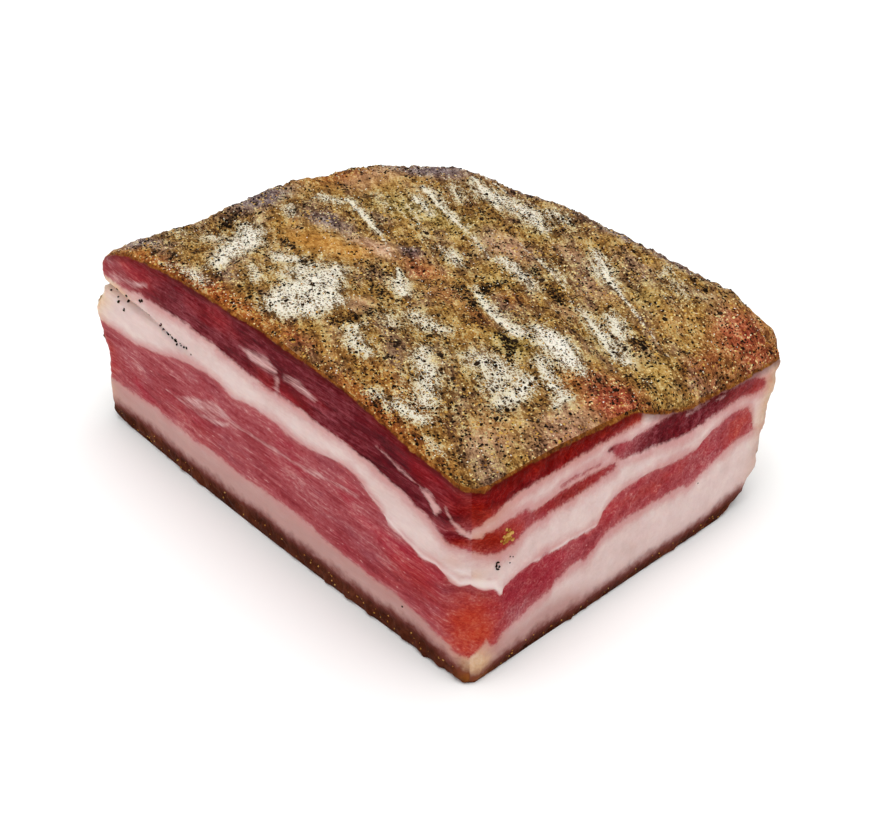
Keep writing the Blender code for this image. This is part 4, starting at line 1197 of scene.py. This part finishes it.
def make_belly(materials):
    """The slab as one fine closed mesh with its painted fields. Returns it and its bmesh."""
    slab = bmesh.new()
    bmesh.ops.create_cube(slab, size=1.0)
    bmesh.ops.translate(slab, vec=(0.5, 0.5, 0.5), verts=slab.verts)
    rows = sum(FINE_ROWS)
    cut_cube_into_cells(slab, (FINE_ALONG, FINE_ACROSS, rows))
    on_cut_faces = [
        edge
        for edge in slab.edges
        if all(vert.co.y < TINY for vert in edge.verts) or all(vert.co.x < TINY for vert in edge.verts)
    ]
    bmesh.ops.subdivide_edges(slab, edges=on_cut_faces, cuts=1, use_grid_fill=True)

    shares = np.array([vert.co[:] for vert in slab.verts]).round(SHARE_DIGITS).clip(0, 1)
    row_levels = np.concatenate(
        [level + np.arange(count) / count for level, count in enumerate(FINE_ROWS)] + [[RIM]]
    )
    u, v, climb = shares.T
    level = np.interp(climb * rows, np.arange(rows + 1), row_levels)
    points = np.stack(slab_skin(u, v, level), axis=-1)
    fields = paint_fields(u, v, points[:, 2])

    for vert, place in zip(slab.verts, to_frame(*points.T)):
        vert.co = place
    bmesh.ops.recalc_face_normals(slab, faces=slab.faces)
    slab.normal_update()
    out = fine_relief(points, fields, level) * MM
    normals = np.array([vert.normal[:] for vert in slab.verts])
    for vert, place in zip(slab.verts, to_frame(*points.T) + normals * out[:, None]):
        vert.co = place

    layers = {name: slab.verts.layers.float.new(name) for name in fields}
    for name, layer in layers.items():
        for vert, value in zip(slab.verts, fields[name]):
            vert[layer] = value
    slab.verts.index_update()
    for face in slab.faces:
        ids = [vert.index for vert in face.verts]
        face.smooth = True
        if (climb[ids] < TINY).all():
            face.material_index = UNDERSIDE
        elif (climb[ids] > 1 - TINY).all():
            face.material_index = TOP
        elif (u[ids] > 1 - TINY).all() or (v[ids] > 1 - TINY).all():
            face.material_index = GROWN_SIDE
        else:
            face.material_index = CUT_SIDE
    flat = [face for face in slab.faces if face.material_index == UNDERSIDE]
    bmesh.ops.dissolve_faces(slab, faces=flat, use_verts=False)

    data = bpy.data.meshes.new("cured_belly")
    slab.to_mesh(data)
    hold_in_box(data)
    for material in materials:
        data.materials.append(material)
    return add_object("cured_belly", data), slab


def grain_templates(flatness, seed):
    """A few lumpy grains of about unit radius, each of twenty faces."""
    draw = random.Random(seed)
    templates = []
    for number in range(GRAIN_SHAPES):
        grain = bmesh.new()
        bmesh.ops.create_icosphere(grain, subdivisions=1, radius=1.0)
        for vert in grain.verts:
            vert.co *= draw.uniform(*GRAIN_CORNERS)
        size = (1, draw.uniform(*GRAIN_WIDTH), draw.uniform(*flatness))
        bmesh.ops.scale(grain, vec=size, verts=grain.verts)
        data = bpy.data.meshes.new(f"grain_{number}")
        grain.to_mesh(data)
        grain.free()
        templates.append(data)
    return templates


def scatter(name, templates, seats, draw, material):
    """One mesh of many grains. A seat is a place, the normal there and a radius, in metres."""
    heap = bmesh.new()
    for place, normal, radius in seats:
        lean = normal.to_track_quat("Z", "Y").to_matrix().to_4x4()
        tip = Matrix.Rotation(draw.uniform(-GRAIN_TIP, GRAIN_TIP), 4, "X")
        turn = Matrix.Rotation(draw.uniform(0, 2 * math.pi), 4, "Z")
        grain = draw.choice(templates).copy()
        grain.transform(Matrix.Translation(place) @ lean @ tip @ turn @ Matrix.Scale(radius, 4))
        heap.from_mesh(grain)
        bpy.data.meshes.remove(grain)
    data = bpy.data.meshes.new(name)
    heap.to_mesh(data)
    heap.free()
    hold_in_box(data)
    data.materials.append(material)
    return add_object(name, data)


def seats_on_crust(hull, spots):
    """Seats on the crust below (along, across) spots: the place and the normal there."""
    u, v = (np.array(spots, float) / (LENGTH, WIDTH)).clip(EDGE_SHARE, 1 - EDGE_SHARE).T
    seats = []
    for x, y, z in to_frame(*slab_skin(u, v, np.full(len(u), float(RIM)))):
        place, normal, _, _ = hull.ray_cast(Vector((x, y, z + DROP_HEIGHT * MM)), Vector((0, 0, -1)))
        if place:
            seats.append((place, normal))
    return seats


def seats_on_wall(hull, spots, side):
    """Seats on a cut face at (place, height) spots of the front or the short side."""
    seats = []
    for place, height in spots:
        share = np.array([place / (LENGTH if side == "front" else WIDTH)])
        u, v = (share, np.zeros(1)) if side == "front" else (np.zeros(1), share)
        lines = level_lines(u * LENGTH, v * WIDTH)[:, 0]
        level = np.array([np.interp(height, lines, np.arange(len(lines)))])
        spot = Vector(to_frame(*slab_skin(u, v, level))[0])
        seat, normal, _, _ = hull.find_nearest(spot)
        seats.append((seat, normal))
    return seats


def sized(seats, pick, *numbers):
    """Gives each seat a radius, drawn with pick from these numbers of millimetres."""
    return [(*seat, pick(*numbers) * MM) for seat in seats]


def random_spots(draw, count, keep):
    """Seeded (along, across) spots over the crust, kept with a chance that keep() gives."""
    spots = []
    spread = ((EDGE_CLEAR, LENGTH - EDGE_CLEAR), (EDGE_CLEAR, WIDTH - EDGE_CLEAR))
    while len(spots) < count:
        batch = np.array([[draw.uniform(*run) for run in spread] for _ in range(SPOT_BATCH)])
        chance = keep(batch[:, 0], batch[:, 1])
        spots += [tuple(spot) for spot, share in zip(batch, chance) if draw.random() < share]
    return spots[:count]


def peppery(along, across):
    """The chance of ground pepper: most in clumps and dark clots, least on bare swells."""
    share, size, seed = CLUMP
    least, more = CLUMP_CHANCE
    clump = 0.5 + share * waves(along, across, 0, size, seed)
    char = strokes_field(CHAR, along, across, PEPPER_CHAR_SOFTNESS)
    chance = (least + more * clump.clip(0, 1) ** 3 + char).clip(0, 1)
    return chance * (1 - PEPPER_BARE * ovals_field(TINTS["bare"], along, across))


def clotted(along, across):
    """The chance of pepper that fills a dark clot."""
    return strokes_field(CHAR, along, across, CLOT_SOFTNESS) ** 2


def floury(along, across):
    """The chance of pale grains: most in the bloom."""
    least, more = PALE_CHANCE
    return least + more * strokes_field(BLOOM, along, across, PALE_SOFTNESS)


def golden(along, across):
    """The chance of golden grains: most in golden patches and along the cut edges."""
    least, more = GOLDEN_CHANCE
    edge = np.exp(-np.minimum(along, across) / GOLDEN_EDGE)
    chance = (least + more * ovals_field(TINTS["gold"], along, across) + edge).clip(0, 1)
    return chance * (1 - GOLDEN_BARE * ovals_field(TINTS["bare"], along, across))


def flake_spots():
    """The (along, across) spots of the coarsest flakes, where the solid has them."""
    spots = []
    draw = random.Random(FLAKE_SEED)
    while len(spots) < FLAKE_COUNT:
        spot = Vector((draw.uniform(FLAKE_MARGIN, LENGTH - FLAKE_MARGIN), 0))
        spot.y = draw.uniform(FLAKE_MARGIN, WIDTH - FLAKE_MARGIN)
        if all((spot - other).length > FLAKE_GAP for other in spots):
            spots.append(spot)
    return [(spot.x, spot.y) for spot in spots]


def split_spots(draw):
    """The (place, height) spots of the pepper in the split, and of stray grains on the front."""
    spots = []
    start, end, step = SPLIT_PEPPER
    chance, chance_gain = SPLIT_PEPPER_CHANCE
    spread, spread_gain = SPLIT_PEPPER_SCATTER
    for place in np.arange(start, end, step):
        middle = curve_through([(p, h) for p, h, _ in SPLIT], np.array([place]))[0]
        if draw.random() < chance + chance_gain * (place - start) / (end - start):
            scatter_by = spread + spread_gain * (place > SPLIT_MOUTH_START)
            spots.append((place, middle - SPLIT_PEPPER_DROP + draw.gauss(0, scatter_by)))
    return [*spots, *FRONT_STRAYS]


def ring_spots(draw):
    """The (place, height) spots of the ring of pepper on the short face, and of stray grains."""
    spots = []
    for turn in np.arange(*RING_TURN):
        place = RING_MIDDLE[0] + RING_HALF[0] * math.cos(turn) + draw.gauss(0, RING_SCATTER[0])
        height = RING_MIDDLE[1] + RING_HALF[1] * math.sin(turn) + draw.gauss(0, RING_SCATTER[1])
        spots.append((place, height))
    return [*spots, *SHORT_STRAYS]


def crust_end_spots(draw, count):
    """The (place, height) spots on the crust's end, over the short face."""
    spots = []
    while len(spots) < count:
        place = draw.uniform(*CRUST_END)
        low = curve_through(SHORT_CRUST_LINE, np.array([place]))[0]
        high = curve_through(CRUST_TOP["short"], np.array([place]))[0]
        if low < high - 1:
            spots.append((place, draw.uniform(low + CRUST_END_CLEAR, high - CRUST_END_CLEAR)))
    return spots


def lay_spice(hull, materials):
    """Every kind of loose grain on the slab, one mesh for each kind."""
    draw = random.Random(SPICE_SEED)
    sharp = grain_templates(*SHARP_GRAINS)
    flat = grain_templates(*FLAT_GRAINS)
    pieces = []

    def strewn(kind, chance):
        """Grains over the crust, where they have a chance."""
        count, radii = kind
        seats = seats_on_crust(hull, random_spots(draw, count, chance))
        return sized(seats, draw.triangular, *radii, radii[0])

    def pressed(spots, side, radii):
        """Grains stuck to a cut face."""
        return sized(seats_on_wall(hull, spots, side), draw.uniform, *radii)

    def add_piece(name, templates, seats, material):
        """One more mesh of grains."""
        pieces.append(scatter(name, templates, seats, draw, materials[material]))

    pepper = strewn(GROUND_PEPPER, peppery) + strewn(CLOT_PEPPER, clotted)
    add_piece("ground_pepper", sharp, pepper, "ground_pepper")
    radii = [radius * FLAKE_SHOWN for radius in FLAKE_RADIUS]
    flakes = sized(seats_on_crust(hull, flake_spots()), draw.uniform, *radii)
    add_piece("cracked_pepper", flat, flakes + strewn(PEPPER_FLAKES, peppery), "cracked_pepper")
    add_piece("salt_and_garlic_grains", sharp, strewn(PALE_GRAINS, floury), "salt_and_garlic_grains")
    add_piece("coriander_grains", sharp, strewn(GOLDEN_GRAINS, golden), "coriander_grains")

    pepper = pressed(split_spots(draw), "front", SPLIT_PEPPER_RADIUS)
    pepper += pressed(ring_spots(draw), "short", RING_RADIUS)
    add_piece("pepper_in_the_split", sharp, pepper, "ground_pepper")
    for name, count, radii, material in CRUST_END_SPICE:
        seats = seats_on_wall(hull, crust_end_spots(draw, count), "short")
        add_piece(name, sharp, sized(seats, draw.triangular, *radii, radii[0]), material)

    count, middle, spread = CRUMB_HEAP
    spots = [[axis + draw.gauss(0, spread) for axis in middle] for _ in range(count)]
    crumbs = pressed(spots, "short", CRUMB_RADIUS)
    for side, count, *runs, radii in RIND_CRUMBS:
        spots = [[draw.uniform(*run) for run in runs] for _ in range(count)]
        crumbs += pressed(spots, side, radii)
    add_piece("golden_crumbs", sharp, crumbs, "coriander_grains")
    for template in sharp + flat:
        bpy.data.meshes.remove(template)
    return pieces


def add_node(tree, kind, inputs=None, stops=(), **settings):
    """Adds a node with its settings. Inputs are values, or the sockets that feed them, and stops
    are the (place, hex colour) pairs of a colour ramp."""
    made = tree.nodes.new("ShaderNode" + kind)
    for name, value in settings.items():
        setattr(made, name, value)
    for socket, value in (inputs or {}).items():
        if isinstance(value, bpy.types.NodeSocket):
            tree.links.new(value, made.inputs[socket])
        else:
            made.inputs[socket].default_value = value
    for number, (place, hex_colour) in enumerate(stops):
        if number == len(made.color_ramp.elements):
            made.color_ramp.elements.new(place)
        made.color_ramp.elements[number].position = place
        made.color_ramp.elements[number].color = linear(hex_colour)
    return made


def sum_of(tree, start, terms):
    """A starting value and (pattern, weight) terms, added up."""
    total = start
    for pattern, weight in terms:
        inputs = {0: pattern, 1: weight, 2: total}
        total = add_node(tree, "Math", inputs, operation="MULTIPLY_ADD").outputs[0]
    return total


def looks_of(tree, tone, ramps):
    """The colours that a tone gives on each of some ramps, by the ramp's name."""
    looks = {}
    for name, stops in ramps.items():
        looks[name] = add_node(tree, "ValToRGB", {"Fac": tone}, stops).outputs[0]
    return looks


def layer_over(tree, colour, coats):
    """Lays coats of (mask, colour) over a colour, in turn. Returns the last socket."""
    for mask, coat in coats:
        inputs = {FACTOR: mask, COLOUR_A: colour, COLOUR_B: coat}
        colour = add_node(tree, "Mix", inputs, data_type="RGBA").outputs[COLOUR_OUT]
    return colour


class Brushes:
    """What one material is painted with: places on the slab, painted fields, patterns and masks."""

    def __init__(self, tree):
        self.tree = tree
        self.place = add_node(tree, "TexCoord").outputs["Object"]
        self.paint = {
            name: add_node(tree, "Attribute", attribute_name=name).outputs["Fac"] for name in PAINTS
        }
        inputs = {"Vector": self.place, "Scale": 1 / (RIPPLE_SIZE * MM), "Detail": 1.0}
        ripple = add_node(tree, "TexNoise", inputs).outputs["Color"]
        inputs = {0: ripple, 1: (RIPPLE_PUSH * MM,) * 3, 2: self.place}
        self.ragged_place = add_node(tree, "VectorMath", inputs, operation="MULTIPLY_ADD").outputs[0]
        self.follow = {}

    def take_up(self, patterns):
        """Starts a finish: it may follow every painted field, and these patterns."""
        self.follow = dict(self.paint)
        for name, sizes in patterns.items():
            self.follow[name] = self.noise(*sizes)

    def noise(self, size_mm, detail, roughness, stretch=(1, 1, 1), turn=0.0):
        """Noise of lumps about size_mm across, mostly -1 to 1, drawn out along turned axes."""
        scale = tuple(1 / (size_mm * MM * part) for part in stretch)
        turned = {"Vector": self.place, "Rotation": (0, 0, turn)}
        spot = add_node(self.tree, "Mapping", turned, vector_type="TEXTURE").outputs[0]
        spot = add_node(self.tree, "Mapping", {"Vector": spot, "Scale": scale}).outputs[0]
        inputs = {"Vector": spot, "Scale": 1.0, "Detail": detail, "Roughness": roughness}
        value = add_node(self.tree, "TexNoise", inputs).outputs["Fac"]
        return sum_of(self.tree, -NOISE_GAIN / 2, [(value, NOISE_GAIN)])

    def terms(self, weights):
        """The sockets that these names stand for, each with its weight."""
        return [(self.follow[name], weight) for name, weight in weights.items()]

    def sum(self, start, weights):
        """A starting value and weighted fields, patterns and masks, added up."""
        return sum_of(self.tree, start, self.terms(weights))

    def spread(self, low, high, strength, terms, start=0.0):
        """A mask: 0 where the sum is below low, strength where it is above high, smooth between."""
        total = sum_of(self.tree, start, terms)
        inputs = {"Value": total, "From Min": low, "From Max": high, "To Max": strength}
        smooth = add_node(self.tree, "MapRange", inputs, interpolation_type="SMOOTHSTEP")
        return smooth.outputs["Result"]

    def grains(self, size_mm, start, terms):
        """Grains about size_mm across: few where the sum is 0, and all over where it is 0.85."""
        inputs = {"Vector": self.ragged_place, "Scale": 1 / (size_mm * MM)}
        cells = add_node(self.tree, "TexVoronoi", inputs)
        luck = add_node(self.tree, "SeparateColor", {0: cells.outputs["Color"]}).outputs[0]
        terms = [*terms, (luck, GRAIN_LUCK), (cells.outputs["Distance"], GRAIN_ROUND)]
        return self.spread(*GRAIN_EDGE, 1.0, terms, start + GRAIN_START)

    def threads(self, size_mm, start, terms):
        """Threads between grains size_mm apart: none where the sum is 0, and where it is 1 all
        but a dot in the middle of each grain."""
        inputs = {"Vector": self.ragged_place, "Scale": 1 / (size_mm * MM)}
        cells = add_node(self.tree, "TexVoronoi", inputs, feature="DISTANCE_TO_EDGE")
        terms = [(pattern, THREAD_REACH * weight) for pattern, weight in terms]
        terms.append((cells.outputs["Distance"], -1.0))
        return self.spread(*THREAD_EDGE, 1.0, terms, THREAD_REACH * start)

    def lay_coats(self, colour, coats, looks):
        """A colour with a table of coats over it. Each mask is kept under its coat's name."""
        masks = {"spread": self.spread, "grains": self.grains, "threads": self.threads}
        layers = []
        for name, (coat, kind, numbers, weights) in coats.items():
            self.follow[name] = masks[kind](*numbers, self.terms(weights))
            layers.append((self.follow[name], looks[coat] if coat in looks else linear(coat)))
        return layer_over(self.tree, colour, layers)


def crust_finish(brush):
    """Spice rub dried onto the belly: brown ochre to dusky rose, with threads of white bloom
    between the grains, and black pepper. Returns colour, roughness and height in millimetres."""
    tree = brush.tree
    brush.take_up(CRUST_PATTERNS)
    looks = looks_of(tree, brush.sum(MIDDLE_TONE, CRUST_TONE), {**CRUST_BROWNS, **CRUST_TINTS})
    looks.update(looks_of(tree, brush.sum(WHITE_START, WHITE_TONE), BLOOM_WHITES))
    layers = [(brush.spread(*DUSK_EDGE, brush.terms({"hue": 1.0})), looks["dusk"])]
    for name in CRUST_TINTS:
        tint = brush.paint[name]
        uneven = sum_of(tree, 0.0, [(tint, brush.follow["mottle"])])
        mask = brush.spread(*TINT_EDGE, [(tint, TINT_WEIGHT), (uneven, TINT_UNEVEN)])
        layers.append((mask, looks[name]))
    browns = layer_over(tree, looks["ochre"], layers)
    colour = brush.lay_coats(browns, CRUST_COATS, looks)
    return colour, brush.sum(*CRUST_ROUGHNESS), brush.sum(0.0, CRUST_BUMPS)


def meat_finish(brush):
    """Cut cured belly: wine-red lean with fibres along the slab, pearly fat with pink edges.
    Returns colour, roughness and height in millimetres."""
    tree = brush.tree
    brush.take_up(MEAT_PATTERNS)
    brush.follow["ragged"] = brush.sum(0.0, RAGGED_FAT)
    looks = looks_of(tree, brush.sum(MIDDLE_TONE, MEAT_TONE), LEAN_COLOURS)
    looks["deep"] = brush.lay_coats(looks["deep"], DEEP_COATS, looks)
    lean = brush.lay_coats(looks["lean"], LEAN_COATS, looks)
    looks = looks_of(tree, brush.sum(MIDDLE_TONE, FAT_TONE), FAT_COLOURS)
    fat = brush.lay_coats(looks["pearl"], FAT_COATS, looks)
    colour = brush.lay_coats(lean, MEAT_COATS, {"fat": fat})
    return colour, brush.sum(*MEAT_ROUGHNESS), brush.sum(0.0, MEAT_BUMPS)


def rind_finish(brush):
    """Smoked rind: dark purple-brown skin, leathery, with a dull shine. Returns colour,
    roughness and height in millimetres."""
    brush.take_up(RIND_PATTERNS)
    looks = looks_of(brush.tree, brush.sum(MIDDLE_TONE, RIND_TONE), RIND_BROWNS)
    return looks["rind"], brush.sum(*RIND_ROUGHNESS), brush.sum(0.0, RIND_BUMPS)


def change_over(brush, mask, pairs):
    """Pairs of numbers, each going from its first to its second as the mask goes from 0 to 1."""
    blends = []
    for first, second in pairs:
        inputs = {FACTOR: brush.follow[mask], FLOAT_A: first, FLOAT_B: second}
        blends.append(add_node(brush.tree, "Mix", inputs, data_type="FLOAT").outputs[0])
    return blends


def cut_finish(brush):
    """A whole cut face: meat, with its foot of rind and its rim of rub, and drier at the ends.
    Returns colour, roughness and height in millimetres."""
    meat, meat_rough, meat_height = meat_finish(brush)
    rind, rind_rough, rind_height = rind_finish(brush)
    crust, _, _ = crust_finish(brush)
    brush.take_up(CUT_PATTERNS)
    looks = looks_of(brush.tree, brush.sum(MIDDLE_TONE, CUT_EDGE_TONE), CUT_EDGE_BROWNS)
    looks["crust"] = crust
    looks["rind"] = brush.lay_coats(rind, WAXED_RIND_COATS, {})
    colour = brush.lay_coats(meat, CUT_COATS, looks)
    return colour, *change_over(brush, "in_rind", ((meat_rough, rind_rough), (meat_height, rind_height)))


def dried_finish(brush):
    """A whole uncut side: faint layers under rub that thins out downwards, and rind at the foot.
    Returns colour, roughness and height in millimetres."""
    crust, crust_rough, crust_height = crust_finish(brush)
    rind, _, rind_height = rind_finish(brush)
    brush.take_up(DRIED_PATTERNS)
    looks = looks_of(brush.tree, brush.sum(MIDDLE_TONE, DRIED_TONE), DRIED_COLOURS)
    looks["crust"] = crust
    looks["rind"] = rind
    colour = brush.lay_coats(looks["lean"], DRIED_COATS, looks)
    return colour, crust_rough, *change_over(brush, "in_rind", ((crust_height, rind_height),))


def new_material(name):
    """A plain material, ready for its nodes."""
    material = bpy.data.materials.new(name)
    material.use_nodes = True
    return material


def make_material(name, finish, flesh):
    """A material with one finish. Flesh is how much light goes under its surface."""
    material = new_material(name)
    tree = material.node_tree
    colour, roughness, height = finish(Brushes(tree))
    shader = tree.nodes["Principled BSDF"]
    # The height sockets are in millimetres, so a bump of strength 1 stands 1 mm proud.
    bump = add_node(tree, "Bump", {"Height": height, "Distance": MM, "Strength": 1.0})
    for socket, value in (("Base Color", colour), ("Roughness", roughness), ("Normal", bump.outputs[0])):
        tree.links.new(value, shader.inputs[socket])
    shader.inputs["IOR"].default_value = MEAT_IOR
    shader.inputs["Specular IOR Level"].default_value = SHEEN
    shader.inputs["Subsurface Weight"].default_value = flesh
    shader.inputs["Subsurface Radius"].default_value = FLESH_REACH
    shader.inputs["Subsurface Scale"].default_value = FLESH_DEPTH * MM
    return material


def make_grain(name, stops, size_mm, roughness, flesh):
    """A dry, broken spice: one colour that shifts from grain to grain."""
    material = new_material(name)
    tree = material.node_tree
    place = add_node(tree, "TexCoord").outputs["Object"]
    inputs = {"Vector": place, "Scale": 1 / (size_mm * MM), **GRAIN_PATTERN}
    tone = add_node(tree, "TexNoise", inputs).outputs["Fac"]
    colour = add_node(tree, "ValToRGB", {"Fac": tone}, stops).outputs[0]
    shader = tree.nodes["Principled BSDF"]
    tree.links.new(colour, shader.inputs["Base Color"])
    shader.inputs["Roughness"].default_value = roughness
    shader.inputs["IOR"].default_value = MEAT_IOR
    shader.inputs["Specular IOR Level"].default_value = SHEEN
    shader.inputs["Subsurface Weight"].default_value = flesh
    shader.inputs["Subsurface Scale"].default_value = GRAIN_DEPTH * MM
    return material


# The slab's materials, in the order of the faces that wear them: name, finish and flesh
CUT_SIDE, TOP, UNDERSIDE, GROWN_SIDE = range(4)
BELLY_MATERIALS = (
    # Cut cured pork belly, sliced and air-dried: moist, fibrous and a little see-through
    ("cut_cured_belly", cut_finish, 0.3),
    # Belly rubbed with salt, pepper and turmeric and air-dried: dry and sandy, ochre to brown, with
    # white bloom, black specks and greasy golden swells
    ("spiced_crust", crust_finish, 0.05),
    # Pork skin, cured and smoked: dark, leathery and dull
    ("smoked_rind", rind_finish, 0.05),
    # The belly's own outer sides, rubbed and air-dried: matt, tan to purple-brown
    ("dried_side", dried_finish, 0.15),
)


def add_camera(corner):
    """The photograph's camera: a long lens, looking down at the near corner."""
    camera = add_object("camera", bpy.data.cameras.new("camera"))
    camera.data.lens = LENS
    camera.data.sensor_width = SENSOR
    azimuth = math.radians(VIEW_AZIMUTH)
    elevation = math.radians(VIEW_ELEVATION)
    level = math.cos(elevation)
    back = Vector((math.sin(azimuth) * level, -math.cos(azimuth) * level, math.sin(elevation)))
    camera.rotation_euler = (-back).to_track_quat("-Z", "Y").to_euler()
    camera.location = corner + Vector(VIEW_FROM_CORNER) * MM
    bpy.context.scene.camera = camera


def add_light(name, size, place, power):
    """A square soft box that faces the slab."""
    light = bpy.data.lights.new(name, "AREA")
    light.shape = "SQUARE"
    light.size = size
    light.energy = power
    box = add_object(name, light)
    box.location = place
    box.rotation_euler = (Vector(LIGHT_AIM) - Vector(place)).to_track_quat("-Z", "Y").to_euler()


def add_studio():
    """A white sweep under an even white sky, with a wide soft box above and a small one at the left."""
    floor_mesh = bmesh.new()
    bmesh.ops.create_grid(floor_mesh, x_segments=1, y_segments=1, size=SWEEP_SIZE)
    data = bpy.data.meshes.new("floor")
    floor_mesh.to_mesh(data)
    floor_mesh.free()
    floor = add_object("floor", data)
    # White paper, dull and even
    paper = new_material("white_sweep")
    shader = paper.node_tree.nodes["Principled BSDF"]
    shader.inputs["Base Color"].default_value = linear(SWEEP_WHITE)
    shader.inputs["Roughness"].default_value = SWEEP_ROUGHNESS
    shader.inputs["Specular IOR Level"].default_value = SHEEN
    data.materials.append(paper)

    world = bpy.data.worlds.new("white_sky")
    bpy.context.scene.world = world
    world.use_nodes = True
    sky = world.node_tree.nodes["Background"]
    sky.inputs["Color"].default_value = linear(SKY_WHITE)
    sky.inputs["Strength"].default_value = SKY_STRENGTH
    for name, size, place, power in LIGHTS:
        add_light(name, size, place, power)
    bpy.context.scene.view_settings.view_transform = "Standard"


def main():
    """Dresses the slab."""
    add_camera(Vector(to_frame(0, 0, 0)))
    add_studio()

    belly, mesh = make_belly([make_material(*numbers) for numbers in BELLY_MATERIALS])
    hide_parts(NODE)
    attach(belly, BODY)

    hull = BVHTree.FromBMesh(mesh)
    mesh.free()
    spices = {name: make_grain(name, *numbers) for name, numbers in SPICES.items()}
    for piece in lay_spice(hull, spices):
        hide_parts(NODE)
        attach(piece, BODY)


main()
